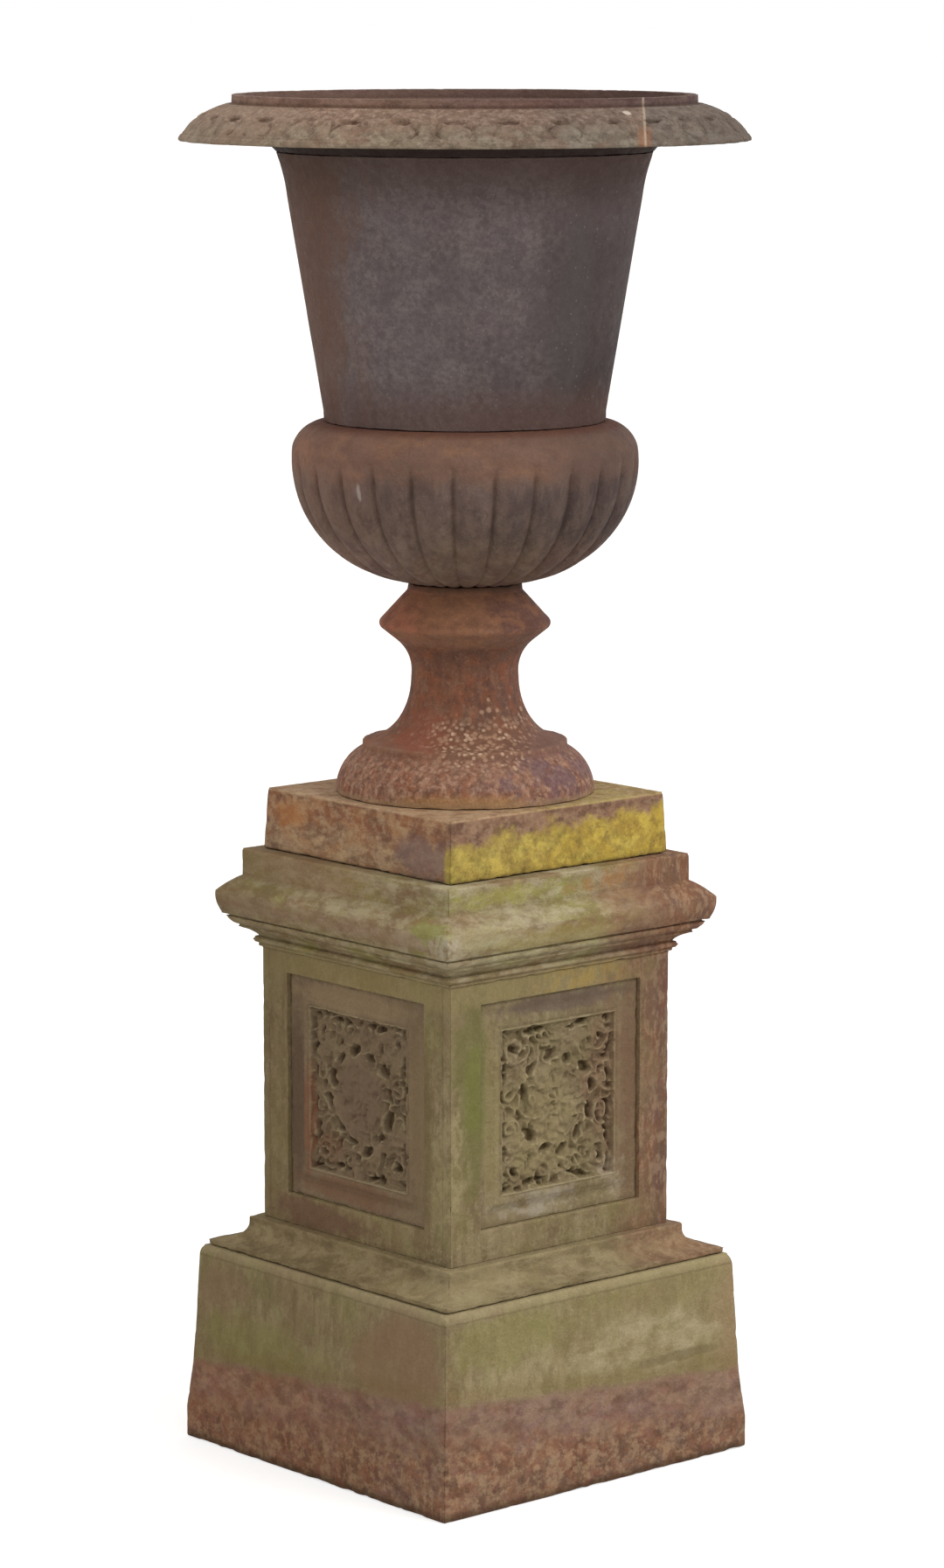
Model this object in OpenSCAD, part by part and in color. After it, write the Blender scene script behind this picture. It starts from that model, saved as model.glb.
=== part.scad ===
// Garden urn on a square pedestal, all in cast iron.
// The urn stands loose on the pedestal and lifts straight off.
// Lengths are in millimetres, +Z is up, and the origin is at the middle of the
// underside of the plinth, on the floor. The panelled faces look along X and Y.

/* [Plinth] */
// Side of the plinth where it stands on the floor
plinth_side = 332; // [300:1:380]
// Height of the upright band at the foot of the plinth
plinth_band_h = 26; // [10:1:50]
// Side of the plinth at the top of its splayed part
plinth_mid_side = 324; // [300:1:360]
// Height of the splayed part above the upright band
plinth_splay_h = 38; // [20:1:60]
// Side of the plinth just under its rounded top edge
plinth_top_side = 315.5; // [296:0.5:350]
// Full height of the plinth
plinth_h = 165; // [130:1:220]
// Width of the rounded top edge of the plinth
plinth_round_w = 4.3; // [1:0.1:8]
// Height of the rounded top edge of the plinth
plinth_round_h = 10; // [4:0.5:20]
// Thickness of the plinth walls
plinth_wall = 10; // [6:0.5:16]
// Thickness of the plate that closes the top of the plinth
plinth_plate = 12; // [8:0.5:20]
// Width of that plate between the middle of a tie rod and the opening in the plate
plinth_land = 20; // [16:0.5:38]

/* [Base moulding] */
// How far the bottom fillet of the base moulding stands in from the rounded edge of the plinth
mould_ledge = 1.5; // [0.5:0.5:6]
// Height of the bottom fillet
mould_foot_h = 5; // [3:0.5:12]
// Height of the hollow curve above the bottom fillet
mould_cove_h = 14.5; // [8:0.5:24]
// Side of the top fillet, which carries the die
mould_neck_side = 256; // [242:1:266]
// Height of the top fillet
mould_neck_h = 6; // [3:0.5:12]
// How far the hollow curve starts in from the edge of the bottom fillet
cove_start = 1; // [0:0.1:2]

/* [Die] */
// Outer side of the square die
die_side = 237.5; // [230:0.5:242]
// Height of the four die panels
die_h = 227.5; // [215:0.5:300]
// Thickness of the die panels
panel_t = 10; // [8:0.5:12]
// Gap left round pieces that drop into one another
slip = 0.3; // [0.2:0.05:0.5]
// Height of the lips on the moulding and the cap that hold the panels
lip_h = 8; // [4:0.5:9]
// Thickness of those lips
lip_t = 8.5; // [6:0.5:10]

/* [Plaques] */
// Width of the upright stiles of the die at both sides of a plaque
stile_w = 32.75; // [31:0.25:44]
// Height of the rail of the die under a plaque
rail_low_h = 25.5; // [22:0.5:36]
// Height of the rail of the die over a plaque
rail_top_h = 18; // [17:0.5:30]
// How far the plaque face is set back from the die face
plaque_back = 3; // [1:0.5:5]
// Width of the plain border round the ornament
plaque_border = 24; // [12:1:30]
// Depth of the sunk field behind the border face
field_depth = 11; // [5:0.5:12]
// Thickness of the plaque plate behind the panel
plaque_plate = 10; // [7:0.5:10]
// How far the plaque plate laps behind the panel
plaque_lap = 8; // [6:0.5:8]
// How far the ornament stays below the border face
relief_drop = 1; // [0.5:0.5:3]
// Radius of the ring of the ornament as a share of the field width
wreath_share = 0.27; // [0.2:0.01:0.3]
// Radius of the rosette as a share of the radius of the ring
rosette_share = 0.55; // [0.4:0.01:0.65]
// Radius of the corner scrolls as a share of the field width
scroll_share = 0.12; // [0.08:0.01:0.14]
// How far the straight strands of the ornament lie below its rings
strand_drop = 2; // [1:0.5:4]
// Width of the raised strands of the ornament
strand_w = 7; // [4:0.5:8]

/* [Cap] */
// Side of the bottom fillet of the cap
cap_foot_side = 243; // [243:0.5:250]
// Height of the bottom fillet of the cap
cap_foot_h = 3.5; // [2:0.5:6]
// How far the bead above the fillet stands out
bead_out = 3.5; // [2:0.5:6]
// Height of the bead
bead_h = 5.5; // [3:0.5:10]
// Side of the middle fillet
cap_mid_side = 266; // [264:1:272]
// Height of the hollow curve under the middle fillet
cap_cove_h = 7; // [4:0.5:14]
// How deep that curve is hollowed
cap_cove_bow = 1.2; // [0.4:0.2:2]
// Height of the middle fillet
cap_mid_h = 3; // [2:0.5:6]
// Side of the rounded moulding under the corona, at its widest
cap_round_side = 280; // [276:1:282]
// Height of that rounded moulding
cap_round_h = 7; // [4:0.5:12]
// Height of the narrow quirk between that moulding and the corona
quirk_h = 1.5; // [1:0.5:4]
// How deep the quirk is cut in
quirk_in = 1.5; // [1:0.5:3]
// Side of the corona at the top of its face
corona_side = 293.5; // [292:0.5:310]
// Height of the face of the corona
corona_h = 19.5; // [12:0.5:26]
// How far the face of the corona leans in down to its lower edge
corona_draft = 4; // [1:0.5:5]
// Bulge of the face of the corona
corona_bulge = 1.5; // [0.4:0.1:2]
// Height of the weathered slope above the corona
slope_h = 13; // [8:0.5:24]
// Bulge of that slope
slope_bulge = 1.2; // [0:0.1:2]
// Side of the top block of the cap
cap_top_side = 261.5; // [258:0.5:270]
// Height of the top block of the cap
cap_top_h = 22; // [16:0.5:34]
// Rounding of the top edge of the cap and of the foot block
edge_round = 2; // [0.5:0.5:3]
// Thickness of the top plate of the cap
cap_plate = 12; // [8:0.5:14]
// Thickness of the wall round the upper hollow of the cap
cap_wall = 10; // [8:0.5:14]

/* [Foot block] */
// Side of the square foot block of the urn at its underside
block_side = 236; // [230:1:250]
// How far each face of the foot block leans in up to its top
block_draft = 2.5; // [0:0.1:6]
// Height of the foot block
block_h = 50.5; // [45:0.5:70]
// Thickness of the foot block walls
block_wall = 10; // [7:0.5:12]
// Thickness of the top plate of the foot block
block_plate = 10; // [8:0.5:14]

/* [Stem] */
// Radius of the bell foot
foot_r = 106; // [100:1:112]
// Height of the rounded part of the bell foot
foot_h = 36.5; // [28:0.5:50]
// Radius of the fillet above the bell foot
foot_fillet_r = 84; // [78:1:86]
// Height of that fillet
foot_fillet_h = 6; // [3:0.5:10]
// Radius at the thinnest place of the stem
waist_r = 44; // [40:0.5:50]
// Height from the fillet up to the thinnest place
waist_low_h = 51.5; // [44:0.5:70]
// Height from the thinnest place up to the knop
waist_top_h = 32; // [24:0.5:44]
// Radius of the knop
knop_r = 70; // [64:1:78]
// Radius where the stem meets the knop
knop_edge_r = 58; // [54:1:60]
// Height of the knop below its widest place
knop_low_h = 12; // [8:0.5:18]
// Height of the knop above its widest place
knop_top_h = 27; // [22:0.5:32]
// Radius of the rounded edge of the knop
knop_nose = 5; // [3:0.5:7]
// Radius of the collar that carries the bowl
collar_r = 47; // [44:0.5:52]
// Height of the collar
collar_h = 6.5; // [4:0.5:12]
// How far the curve of the waist starts in from the fillet
waist_start = 1; // [0:0.1:2]
// Hollow of the curve between the waist and the knop
waist_bow = 5; // [2:0.5:6]
// Radius of the hollow inside the stem
stem_core_r = 34; // [28:0.5:35]
// Thickness of the wall of the bell foot at its edge
bell_wall = 14; // [10:0.5:18]
// Draft inside the bell foot
bell_draft = 8; // [4:0.5:10]
// Height from the fillet up to the straight hollow inside the stem
core_rise = 26; // [20:0.5:34]
// Thickness of the closed top of the stem
stem_cap = 14; // [8:0.5:18]

/* [Bowl] */
// Greatest radius of the bowl
bowl_r = 141; // [132:1:150]
// Height from the collar to the widest place of the bowl
bowl_low_h = 99; // [85:1:120]
// Height of the plain rounded shoulder above the widest place
shoulder_h = 32; // [26:0.5:40]
// Radius of the bowl at the top of the shoulder
shoulder_r = 117; // [116:0.5:122]
// Number of gadroon lobes round the bowl
lobe_count = 26; // [20:1:30]
// Depth of the grooves between the lobes
lobe_depth = 6; // [2:0.5:8]
// Height over which the grooves run out under the shoulder
fade_h = 4; // [2:0.5:8]
// Thickness of the bowl wall behind the grooves
bowl_wall = 8; // [6:0.5:10]
// Thickness of the bowl floor
bowl_floor = 12; // [9:0.5:16]
// Width of the lip inside the top of the bowl
bowl_lip_w = 13; // [12:0.5:13.5]
// Thickness of that lip
bowl_lip_t = 10; // [7:0.5:12]

/* [Drum] */
// How far the foot fillet of the drum stands in from the top of the shoulder
drum_step = 2.5; // [1.5:0.5:5]
// Height of the foot fillet of the drum
drum_foot_h = 8; // [5:0.5:12]
// Radius of the drum where its flare begins
drum_top_r = 143; // [140:0.5:148]
// Height of the straight part of the drum
drum_body_h = 172; // [150:1:210]
// How far the flare opens the drum out under the rim
flare_out = 9; // [6:0.5:14]
// Height of the flare
flare_h = 36; // [24:0.5:50]
// Hollow of the curve of the flare
flare_bow = 1.2; // [0:0.1:2.5]
// Thickness of the drum wall
drum_wall = 7; // [5:0.5:9]
// Width of the flange inside the foot of the drum
flange_w = 26.5; // [24:0.5:34]
// Gap between the head of a flange bolt and the wall of the drum
bolt_gap = 1.05; // [0.5:0.05:2]
// Width of the clips that hold the drum down on the lip of the bowl
clip_w = 16; // [12:0.5:20]
// How far a clip reaches in from the middle of its bolt
clip_in = 7; // [6:0.5:9]
// How far a clip reaches out under the lip from the middle of its bolt
clip_out = 12; // [10:0.5:13]
// Thickness of the clips
clip_t = 4; // [3:0.5:6]
// Thickness of the flange at the foot of the drum
drum_flange_t = 8; // [6:0.5:12]

/* [Rim] */
// Greatest radius of the rim
rim_r = 230; // [215:1:245]
// Height of the whole rim ring
rim_h = 45.5; // [42:0.5:55]
// How far the underside of the lip lies above the seat on the drum
lip_rise = 8.5; // [6:0.5:12]
// Height of the upright edge of the lip
lip_edge_h = 2.5; // [1:0.5:4]
// Thickness of the lip
lip_wall = 9; // [7:0.5:11]
// Radius of the top ring of the rim, outside
ring_r = 187; // [185:0.5:194]
// Height of the upright face of the top ring
ring_h = 7.5; // [4:0.5:10]
// Width of the small ledge under the top ring
ring_ledge = 5.5; // [3:0.5:8]
// Bulge of the rounded face of the rim
rim_bulge = 4.5; // [2:0.5:6]
// Bulge of the hidden faces under the lip and in the mouth
rim_hollow = 3; // [1:0.5:4]
// Extra thickness of the rim where the lip meets the wall of the mouth
web_drop = 4; // [2:0.5:6]
// Width of the top ring of the rim, out from the mouth
ring_w = 9; // [8:0.5:12]
// Width of the seat of the rim on the drum
seat_w = 15; // [14:0.5:17]
// Width of the step between the seat and the edge of the drum
seat_edge = 2; // [1:0.5:3]
// Thickness of that seat
seat_t = 7; // [5:0.5:8]

/* [Fasteners] */
// Distance of the tie rods from the inner faces of the panels
tie_inset = 30.75; // [28:0.25:34]
// Radius of the tie rods
tie_r = 6; // [5:0.5:7]
// Radius of the centre rod of the urn
rod_r = 8; // [6:0.5:9]
// Radius of the bolts between the drum and the bowl
bolt_r = 4; // [3:0.5:5]
// Radius of the small screws in the rim and the plaques
screw_r = 3; // [2.5:0.25:3.5]
// Number of bolts between the drum and the bowl
bolt_count = 6; // [4:1:8]
// Number of screws in the rim
rim_screw_count = 8; // [4:1:12]
// How deep the small screws go into the piece behind
screw_grip = 7; // [5:0.5:8]
// Widening of every hole over the rod or screw in it
hole_slack = 0.3; // [0.2:0.1:0.6]
// Thickness of the washers
washer_t = 3; // [2:0.5:4]
// Across-corners radius of a nut over the radius of its rod
nut_factor = 1.8; // [1.6:0.05:2]
// Height of a nut over the radius of its rod
nut_height_factor = 1.6; // [1.2:0.1:1.8]
// Radius of a screw head over the radius of its screw
head_factor = 1.7; // [1.4:0.05:1.8]
// How far a rod stands out of its nut
rod_end = 3; // [1:0.5:5]
// How far a washer reaches past the corners of its nut
washer_lap = 1; // [0.5:0.1:2]

/* [Hidden] */
$fn = 96;

// number of steps in each drawn curve
steps = 10;
// small overlap that keeps cuts clean
eps = 0.5;

// heights of the pedestal joints
z_mould = plinth_h;
mould_h = mould_foot_h + mould_cove_h + mould_neck_h;
z_die = z_mould + mould_h;
z_cap = z_die + die_h;
z_cap_mid = cap_foot_h + bead_h + cap_cove_h;
z_corona = z_cap_mid + cap_mid_h + cap_round_h + quirk_h;
cap_h = z_corona + corona_h + slope_h + cap_top_h;
z_block = z_cap + cap_h;

// heights of the urn joints
z_stem = z_block + block_h;
z_waist = foot_h + foot_fillet_h + waist_low_h;
z_knop = z_waist + waist_top_h + knop_low_h;
stem_h = z_knop + knop_top_h + collar_h;
z_bowl = z_stem + stem_h;
bowl_h = bowl_low_h + shoulder_h;
z_drum = z_bowl + bowl_h;
drum_h = drum_foot_h + drum_body_h + flare_h;
z_rim = z_drum + drum_h;
z_clip = z_drum - bowl_lip_t - clip_t;

// sizes shared by the die pieces
die_in = die_side/2 - panel_t;
lip_out = die_in - slip;
plaque_w = die_side - 2*stile_w;
plaque_h = die_h - rail_low_h - rail_top_h;
z_plaque = z_die + rail_low_h + plaque_h/2;
field_w = plaque_w - 2*plaque_border;
field_h = plaque_h - 2*plaque_border;
plaque_screw_x = (plaque_w + plaque_lap)/2;
plaque_screw_z = plaque_h/2 - plaque_border;
tie_at = die_in - tie_inset;
plinth_opening = 2*(tie_at - plinth_land);

// radii that follow from the pieces they meet, and circles of bolts
drum_foot_r = shoulder_r - drum_step;
flange_in_r = drum_foot_r - flange_w;
flare_r = drum_top_r + flare_out;
seat_in_r = flare_r - seat_w;
mouth_r = ring_r - ring_w;
bolt_circle = drum_foot_r - drum_wall - nut_factor*bolt_r - bolt_gap;
rim_circle = seat_in_r + 2*screw_r + hole_slack;
bowl_in_r = bowl_r - lobe_depth - bowl_wall;
// distance of the middle of the bowl curve from the axis
bowl_mid_r = 36;
// places across one lobe of the bowl, from 0 to 1, and the angle of the first groove
lobe_across = [0, 0.16, 0.5, 0.84];
groove_at = -135;

// angles at which the drawn curves begin and end, in degrees
bead_end = 80;
cove_end = 85;
bell_end = 62;
waist_end = 80;
waist_edge = 3;
knop_turn = 45;
bowl_under = 81;
core_under = 80;
shoulder_end = 78;

// Points of a curve from p to q that bulges to the right of the way it goes
function bow(p, q, bulge) = [for (i = [0:steps]) let (t = i/steps, d = q - p)
    p + d*t + [d[1], -d[0]]/norm(d)*4*bulge*t*(1 - t)];

// Points of part of an oval with middle c and half sizes s
function oval(c, s, a0, a1) = [for (i = [0:steps]) let (a = a0 + (a1 - a0)*i/steps)
    [c[0] + s[0]*cos(a), c[1] + s[1]*sin(a)]];

// Square solid with mitred corners, from a list of half sides and heights
module square_stack(line) {
    n = len(line);
    corner = [[1, 1], [-1, 1], [-1, -1], [1, -1]];
    polyhedron(
        points = [for (p = line) for (c = corner) [c[0]*p[0], c[1]*p[0], p[1]]],
        faces = concat(
            [[0, 1, 2, 3]],
            [for (i = [0:n - 2]) for (k = [0:3])
                [4*i + k, 4*(i + 1) + k, 4*(i + 1) + (k + 1)%4, 4*i + (k + 1)%4]],
            [[4*n - 1, 4*n - 2, 4*n - 3, 4*n - 4]]
        )
    );
}

// Square block centred on the axis, from height z0 to height z1
module block(side, z0, z1) {
    translate([-side/2, -side/2, z0]) cube([side, side, z1 - z0]);
}

// Copies at the four tie rods
module at_ties() {
    for (x = [-tie_at, tie_at]) {
        for (y = [-tie_at, tie_at]) {
            translate([x, y, 0]) children();
        }
    }
}

// Copies evenly round the axis
module around(count, radius) {
    for (i = [0:count - 1]) {
        rotate([0, 0, 360*(i + 0.5)/count]) translate([radius, 0, 0]) children();
    }
}

// Upright hole for a rod, from height z0 to height z1
module hole(r, z0, z1) {
    translate([0, 0, z0]) cylinder(r = r + hole_slack, h = z1 - z0);
}

// Six-sided nut standing on height z
module nut(r, z) {
    difference() {
        translate([0, 0, z]) cylinder(r = nut_factor*r, h = nut_height_factor*r, $fn = 6);
        hole(r, z - eps, z + nut_height_factor*r + eps);
    }
}

// Round washer standing on height z
module washer(r, z) {
    difference() {
        translate([0, 0, z]) cylinder(r = nut_factor*r + washer_lap, h = washer_t);
        hole(r, z - eps, z + washer_t + eps);
    }
}

// Upright rod from height z0 to height z1
module rod(r, z0, z1) {
    translate([0, 0, z0]) cylinder(r = r, h = z1 - z0);
}

module plinth() {
    color([0.45, 0.36, 0.27])
    difference() {
        square_stack(concat(
            [[plinth_side/2, 0], [plinth_side/2, plinth_band_h]],
            [[plinth_mid_side/2, plinth_band_h + plinth_splay_h]],
            oval([plinth_top_side/2 - plinth_round_w, plinth_h - plinth_round_h],
                [plinth_round_w, plinth_round_h], 0, 90)
        ));
        block(plinth_top_side - 2*plinth_wall, -eps, plinth_h - plinth_plate);
        block(plinth_opening, 0, plinth_h + eps);
        at_ties() hole(tie_r, 0, plinth_h + eps);
    }
}

module base_moulding() {
    half = plinth_top_side/2 - plinth_round_w - mould_ledge;
    neck = mould_neck_side/2;
    top = mould_foot_h + mould_cove_h;
    color([0.48, 0.43, 0.30])
    difference() {
        union() {
            translate([0, 0, z_mould])
            square_stack(concat(
                [[half, 0], [half, mould_foot_h]],
                oval([half - cove_start, top], [neck - half + cove_start, -mould_cove_h], 90, 0),
                [[neck, mould_h]]
            ));
            block(2*lip_out, z_die - eps, z_die + lip_h);
        }
        block(2*(lip_out - lip_t), z_mould - eps, z_die + lip_h + eps);
    }
}

// One die panel facing -Y, with its opening and its screw holes
module panel(width) {
    difference() {
        translate([-width/2, -die_side/2, z_die]) cube([width, panel_t, die_h]);
        translate([-plaque_w/2, -die_side/2 - eps, z_plaque - plaque_h/2])
        cube([plaque_w, panel_t + 2*eps, plaque_h]);
        at_plaque_screws() rotate([90, 0, 0]) cylinder(r = screw_r, h = screw_grip);
    }
}

// Copies at the four screws of a plaque, on the inner face of the panel
module at_plaque_screws() {
    for (x = [-plaque_screw_x, plaque_screw_x]) {
        for (z = [-plaque_screw_z, plaque_screw_z]) {
            translate([x, -die_in, z_plaque + z]) children();
        }
    }
}

// Raised strand of the ornament between two points of the field
module strand(p, q, depth) {
    d = q - p;
    translate([p[0], 0, p[1]])
    rotate([0, -atan2(d[1], d[0]), 0])
    translate([0, -depth, -strand_w/2])
    cube([norm(d), depth, strand_w]);
}

// Raised ring of the ornament
module strand_ring(r, depth) {
    rotate([90, 0, 0])
    difference() {
        cylinder(r = r, h = depth);
        translate([0, 0, -eps]) cylinder(r = r - strand_w, h = depth + 2*eps);
    }
}

// Ornament of one plaque, standing up from the floor of the field
module ornament(depth) {
    wreath_r = wreath_share*field_w;
    scroll_r = scroll_share*field_w;
    scroll_x = field_w/2 - scroll_r - strand_w/2;
    scroll_z = field_h/2 - scroll_r - strand_w/2;
    low = depth - strand_drop;
    strand_ring(wreath_r, depth);
    rotate([90, 0, 0]) cylinder(r = rosette_share*wreath_r, h = depth);
    for (sx = [-1, 1]) {
        for (sz = [-1, 1]) {
            far = [sx*scroll_x, sz*scroll_z];
            way = far/norm(far);
            translate([far[0], 0, far[1]]) strand_ring(scroll_r, depth);
            strand(way*(wreath_r - strand_w/2), far - way*(scroll_r - strand_w/2), low);
        }
    }
    for (s = [-1, 1]) {
        strand([s*(wreath_r - strand_w/2), 0], [s*(field_w/2 + eps), 0], low);
        strand([0, s*(wreath_r - strand_w/2)], [0, s*(field_h/2 + eps)], low);
    }
}

// One plaque facing -Y, set back in its panel
module plaque() {
    face = -die_side/2 + plaque_back;
    floor_y = face + field_depth;
    lap_w = plaque_w + 2*plaque_lap;
    lap_h = plaque_h + 2*plaque_lap;
    difference() {
        union() {
            translate([-plaque_w/2 + slip, face, z_plaque - plaque_h/2 + slip])
            cube([plaque_w - 2*slip, panel_t - plaque_back + eps, plaque_h - 2*slip]);
            translate([-lap_w/2, -die_in, z_plaque - lap_h/2])
            cube([lap_w, plaque_plate, lap_h]);
        }
        translate([-field_w/2, face - eps, z_plaque - field_h/2])
        cube([field_w, field_depth + eps, field_h]);
        at_plaque_screws()
        translate([0, plaque_plate + eps, 0])
        rotate([90, 0, 0])
        cylinder(r = screw_r + hole_slack, h = plaque_plate + 2*eps);
    }
    translate([0, floor_y + eps, z_plaque]) ornament(field_depth - relief_drop + eps);
}

// The panels at the front and back run the full width, the others fit between them
module panel_front() { color([0.50, 0.46, 0.30]) panel(die_side); }
module panel_right() { color([0.50, 0.46, 0.30]) rotate([0, 0, 90]) panel(2*die_in); }
module panel_back() { color([0.50, 0.46, 0.30]) rotate([0, 0, 180]) panel(die_side); }
module panel_left() { color([0.50, 0.46, 0.30]) rotate([0, 0, 270]) panel(2*die_in); }

module plaque_front() { color([0.42, 0.37, 0.29]) plaque(); }
module plaque_right() { color([0.42, 0.37, 0.29]) rotate([0, 0, 90]) plaque(); }
module plaque_back() { color([0.42, 0.37, 0.29]) rotate([0, 0, 180]) plaque(); }
module plaque_left() { color([0.42, 0.37, 0.29]) rotate([0, 0, 270]) plaque(); }

module cornice_cap() {
    foot = cap_foot_side/2;
    mid = cap_mid_side/2;
    round_out = cap_round_side/2;
    corona = corona_side/2;
    top = cap_top_side/2;
    z_bead = cap_foot_h + bead_h;
    z_round = z_cap_mid + cap_mid_h;
    z_slope = z_corona + corona_h;
    low_side = 2*(lip_out - lip_t);
    high_side = cap_top_side - 2*cap_wall;
    color([0.50, 0.46, 0.30])
    difference() {
        union() {
            translate([0, 0, z_cap])
            square_stack(concat(
                [[foot, 0], [foot, cap_foot_h]],
                oval([foot, cap_foot_h + bead_h/2], [bead_out, bead_h/2], -bead_end, bead_end),
                [[foot, z_bead]],
                bow([foot, z_bead], [mid, z_cap_mid], -cap_cove_bow),
                [[mid, z_round]],
                oval([mid, z_round + cap_round_h], [round_out - mid, -cap_round_h], cove_end, 0),
                [[round_out - quirk_in, z_round + cap_round_h]],
                [[round_out - quirk_in, z_corona]],
                bow([corona - corona_draft, z_corona], [corona, z_slope], corona_bulge),
                bow([corona, z_slope], [top, z_slope + slope_h], slope_bulge),
                oval([top - edge_round, cap_h - edge_round], [edge_round, edge_round], 0, 90)
            ));
            block(2*lip_out, z_cap - lip_h, z_cap + eps);
        }
        block(low_side, z_cap - lip_h - eps, z_cap + z_round + eps);
        block(high_side, z_cap + z_round, z_block - cap_plate);
        at_ties() hole(tie_r, z_block - cap_plate - eps, z_block + eps);
    }
}

module foot_block() {
    half = block_side/2;
    top = half - block_draft;
    color([0.55, 0.36, 0.22])
    difference() {
        translate([0, 0, z_block])
        square_stack(concat(
            [[half, 0]],
            oval([top - edge_round, block_h - edge_round], [edge_round, edge_round], 0, 90)
        ));
        block(2*(top - block_wall), z_block - eps, z_stem - block_plate);
        hole(rod_r, z_stem - block_plate - eps, z_stem + eps);
    }
}

module stem_foot() {
    low = foot_h + foot_fillet_h;
    z_collar = stem_h - collar_h;
    color([0.53, 0.33, 0.22])
    translate([0, 0, z_stem])
    rotate_extrude()
    polygon(concat(
        [[foot_r - bell_wall, 0], [foot_r, 0]],
        oval([foot_r - foot_h, 0], [foot_h, foot_h + foot_fillet_h/2], waist_edge, bell_end),
        [[foot_fillet_r, foot_h], [foot_fillet_r, low]],
        oval([foot_fillet_r - waist_start, z_waist],
            [waist_r - foot_fillet_r + waist_start, -waist_low_h], waist_end, waist_edge),
        bow([waist_r, z_waist], [knop_edge_r, z_waist + waist_top_h], -waist_bow),
        oval([knop_r - knop_nose, z_knop], [knop_nose, knop_nose], -knop_turn, knop_turn),
        [[collar_r, z_collar], [collar_r, stem_h]],
        [[rod_r + hole_slack, stem_h], [rod_r + hole_slack, stem_h - stem_cap]],
        [[stem_core_r, stem_h - stem_cap], [stem_core_r, low + core_rise]],
        [[foot_r - bell_wall - bell_draft, foot_h/2]]
    ));
}

// Outer surface of the bowl: plain at the shoulder and scalloped below it
module bowl_skin() {
    cols = len(lobe_across)*lobe_count;
    low = oval([bowl_mid_r, bowl_low_h], [bowl_r - bowl_mid_r, -bowl_low_h], bowl_under, 0);
    high = oval([shoulder_r - fade_h, bowl_low_h + fade_h],
        [bowl_r - shoulder_r + fade_h, shoulder_h - fade_h], 0, shoulder_end);
    rings = concat([[collar_r, 0, 0]], [for (p = low) [p[0], p[1], p[0]/bowl_r]],
        [for (p = high) [p[0], p[1], 0]], [[shoulder_r, bowl_h, 0]]);
    n = len(rings);
    polyhedron(
        points = [for (g = rings) for (i = [0:lobe_count - 1]) for (u = lobe_across)
            let (cut = g[2]*lobe_depth*(1 - sqrt(1 - pow(2*u - 1, 2))),
                a = (i + u)*360/lobe_count + groove_at)
            [(g[0] - cut)*cos(a), (g[0] - cut)*sin(a), g[1]]],
        faces = concat(
            [[for (k = [0:cols - 1]) k]],
            [for (i = [0:n - 2]) for (k = [0:cols - 1])
                [i*cols + k, (i + 1)*cols + k, i*cols + (k + 1)%cols]],
            [for (i = [0:n - 2]) for (k = [0:cols - 1])
                [(i + 1)*cols + k, (i + 1)*cols + (k + 1)%cols, i*cols + (k + 1)%cols]],
            [[for (k = [0:cols - 1]) n*cols - 1 - k]]
        )
    );
}

module gadroon_bowl() {
    under = bowl_h - bowl_lip_t;
    lip_r = shoulder_r - bowl_lip_w;
    color([0.45, 0.34, 0.27])
    translate([0, 0, z_bowl])
    difference() {
        bowl_skin();
        rotate_extrude()
        polygon(concat(
            [[0, bowl_floor], [bowl_mid_r, bowl_floor]],
            oval([bowl_mid_r, bowl_low_h], [bowl_in_r - bowl_mid_r, bowl_floor - bowl_low_h],
                core_under, 0),
            [[shoulder_r - fade_h, under], [lip_r, under]],
            [[lip_r, bowl_h + eps], [0, bowl_h + eps]]
        ));
        hole(rod_r, -eps, bowl_floor + eps);
    }
}

module drum() {
    z_flare = drum_h - flare_h;
    color([0.37, 0.32, 0.31])
    translate([0, 0, z_drum])
    difference() {
        rotate_extrude()
        polygon(concat(
            [[flange_in_r, 0], [drum_foot_r, 0], [drum_foot_r, drum_foot_h]],
            bow([drum_top_r, z_flare], [flare_r, drum_h], -flare_bow),
            [[seat_in_r, drum_h], [drum_top_r - drum_wall, z_flare]],
            [[drum_foot_r - drum_wall, drum_flange_t], [flange_in_r, drum_flange_t]]
        ));
        around(bolt_count, bolt_circle) hole(bolt_r, -eps, drum_flange_t + eps);
        around(rim_screw_count, rim_circle)
        translate([0, 0, drum_h - screw_grip]) cylinder(r = screw_r, h = screw_grip + eps);
    }
}

module rim_ring() {
    z_ring = rim_h - ring_h;
    z_web = z_ring - lip_wall - web_drop;
    color([0.44, 0.40, 0.34])
    translate([0, 0, z_rim])
    difference() {
        rotate_extrude()
        polygon(concat(
            [[seat_in_r, 0]],
            bow([flare_r, 0], [ring_r, z_web], -rim_hollow),
            bow([ring_r, z_web], [rim_r - lip_wall, lip_rise], -rim_hollow),
            [[rim_r, lip_rise]],
            bow([rim_r, lip_rise + lip_edge_h], [ring_r + ring_ledge, z_ring], rim_bulge),
            [[ring_r, z_ring], [ring_r, rim_h], [mouth_r, rim_h]],
            bow([mouth_r, z_ring], [flare_r - seat_edge, seat_t], rim_hollow),
            [[seat_in_r, seat_t]]
        ));
        around(rim_screw_count, rim_circle) hole(screw_r, -eps, seat_t + eps);
    }
}

module tie_rods() {
    color([0.35, 0.28, 0.24])
    at_ties()
    rod(tie_r, plinth_h - plinth_plate - washer_t - nut_height_factor*tie_r - rod_end,
        z_block + washer_t + nut_height_factor*tie_r + rod_end);
}

module tie_washers() {
    color([0.40, 0.33, 0.28])
    at_ties() {
        washer(tie_r, z_block);
        washer(tie_r, plinth_h - plinth_plate - washer_t);
    }
}

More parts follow.
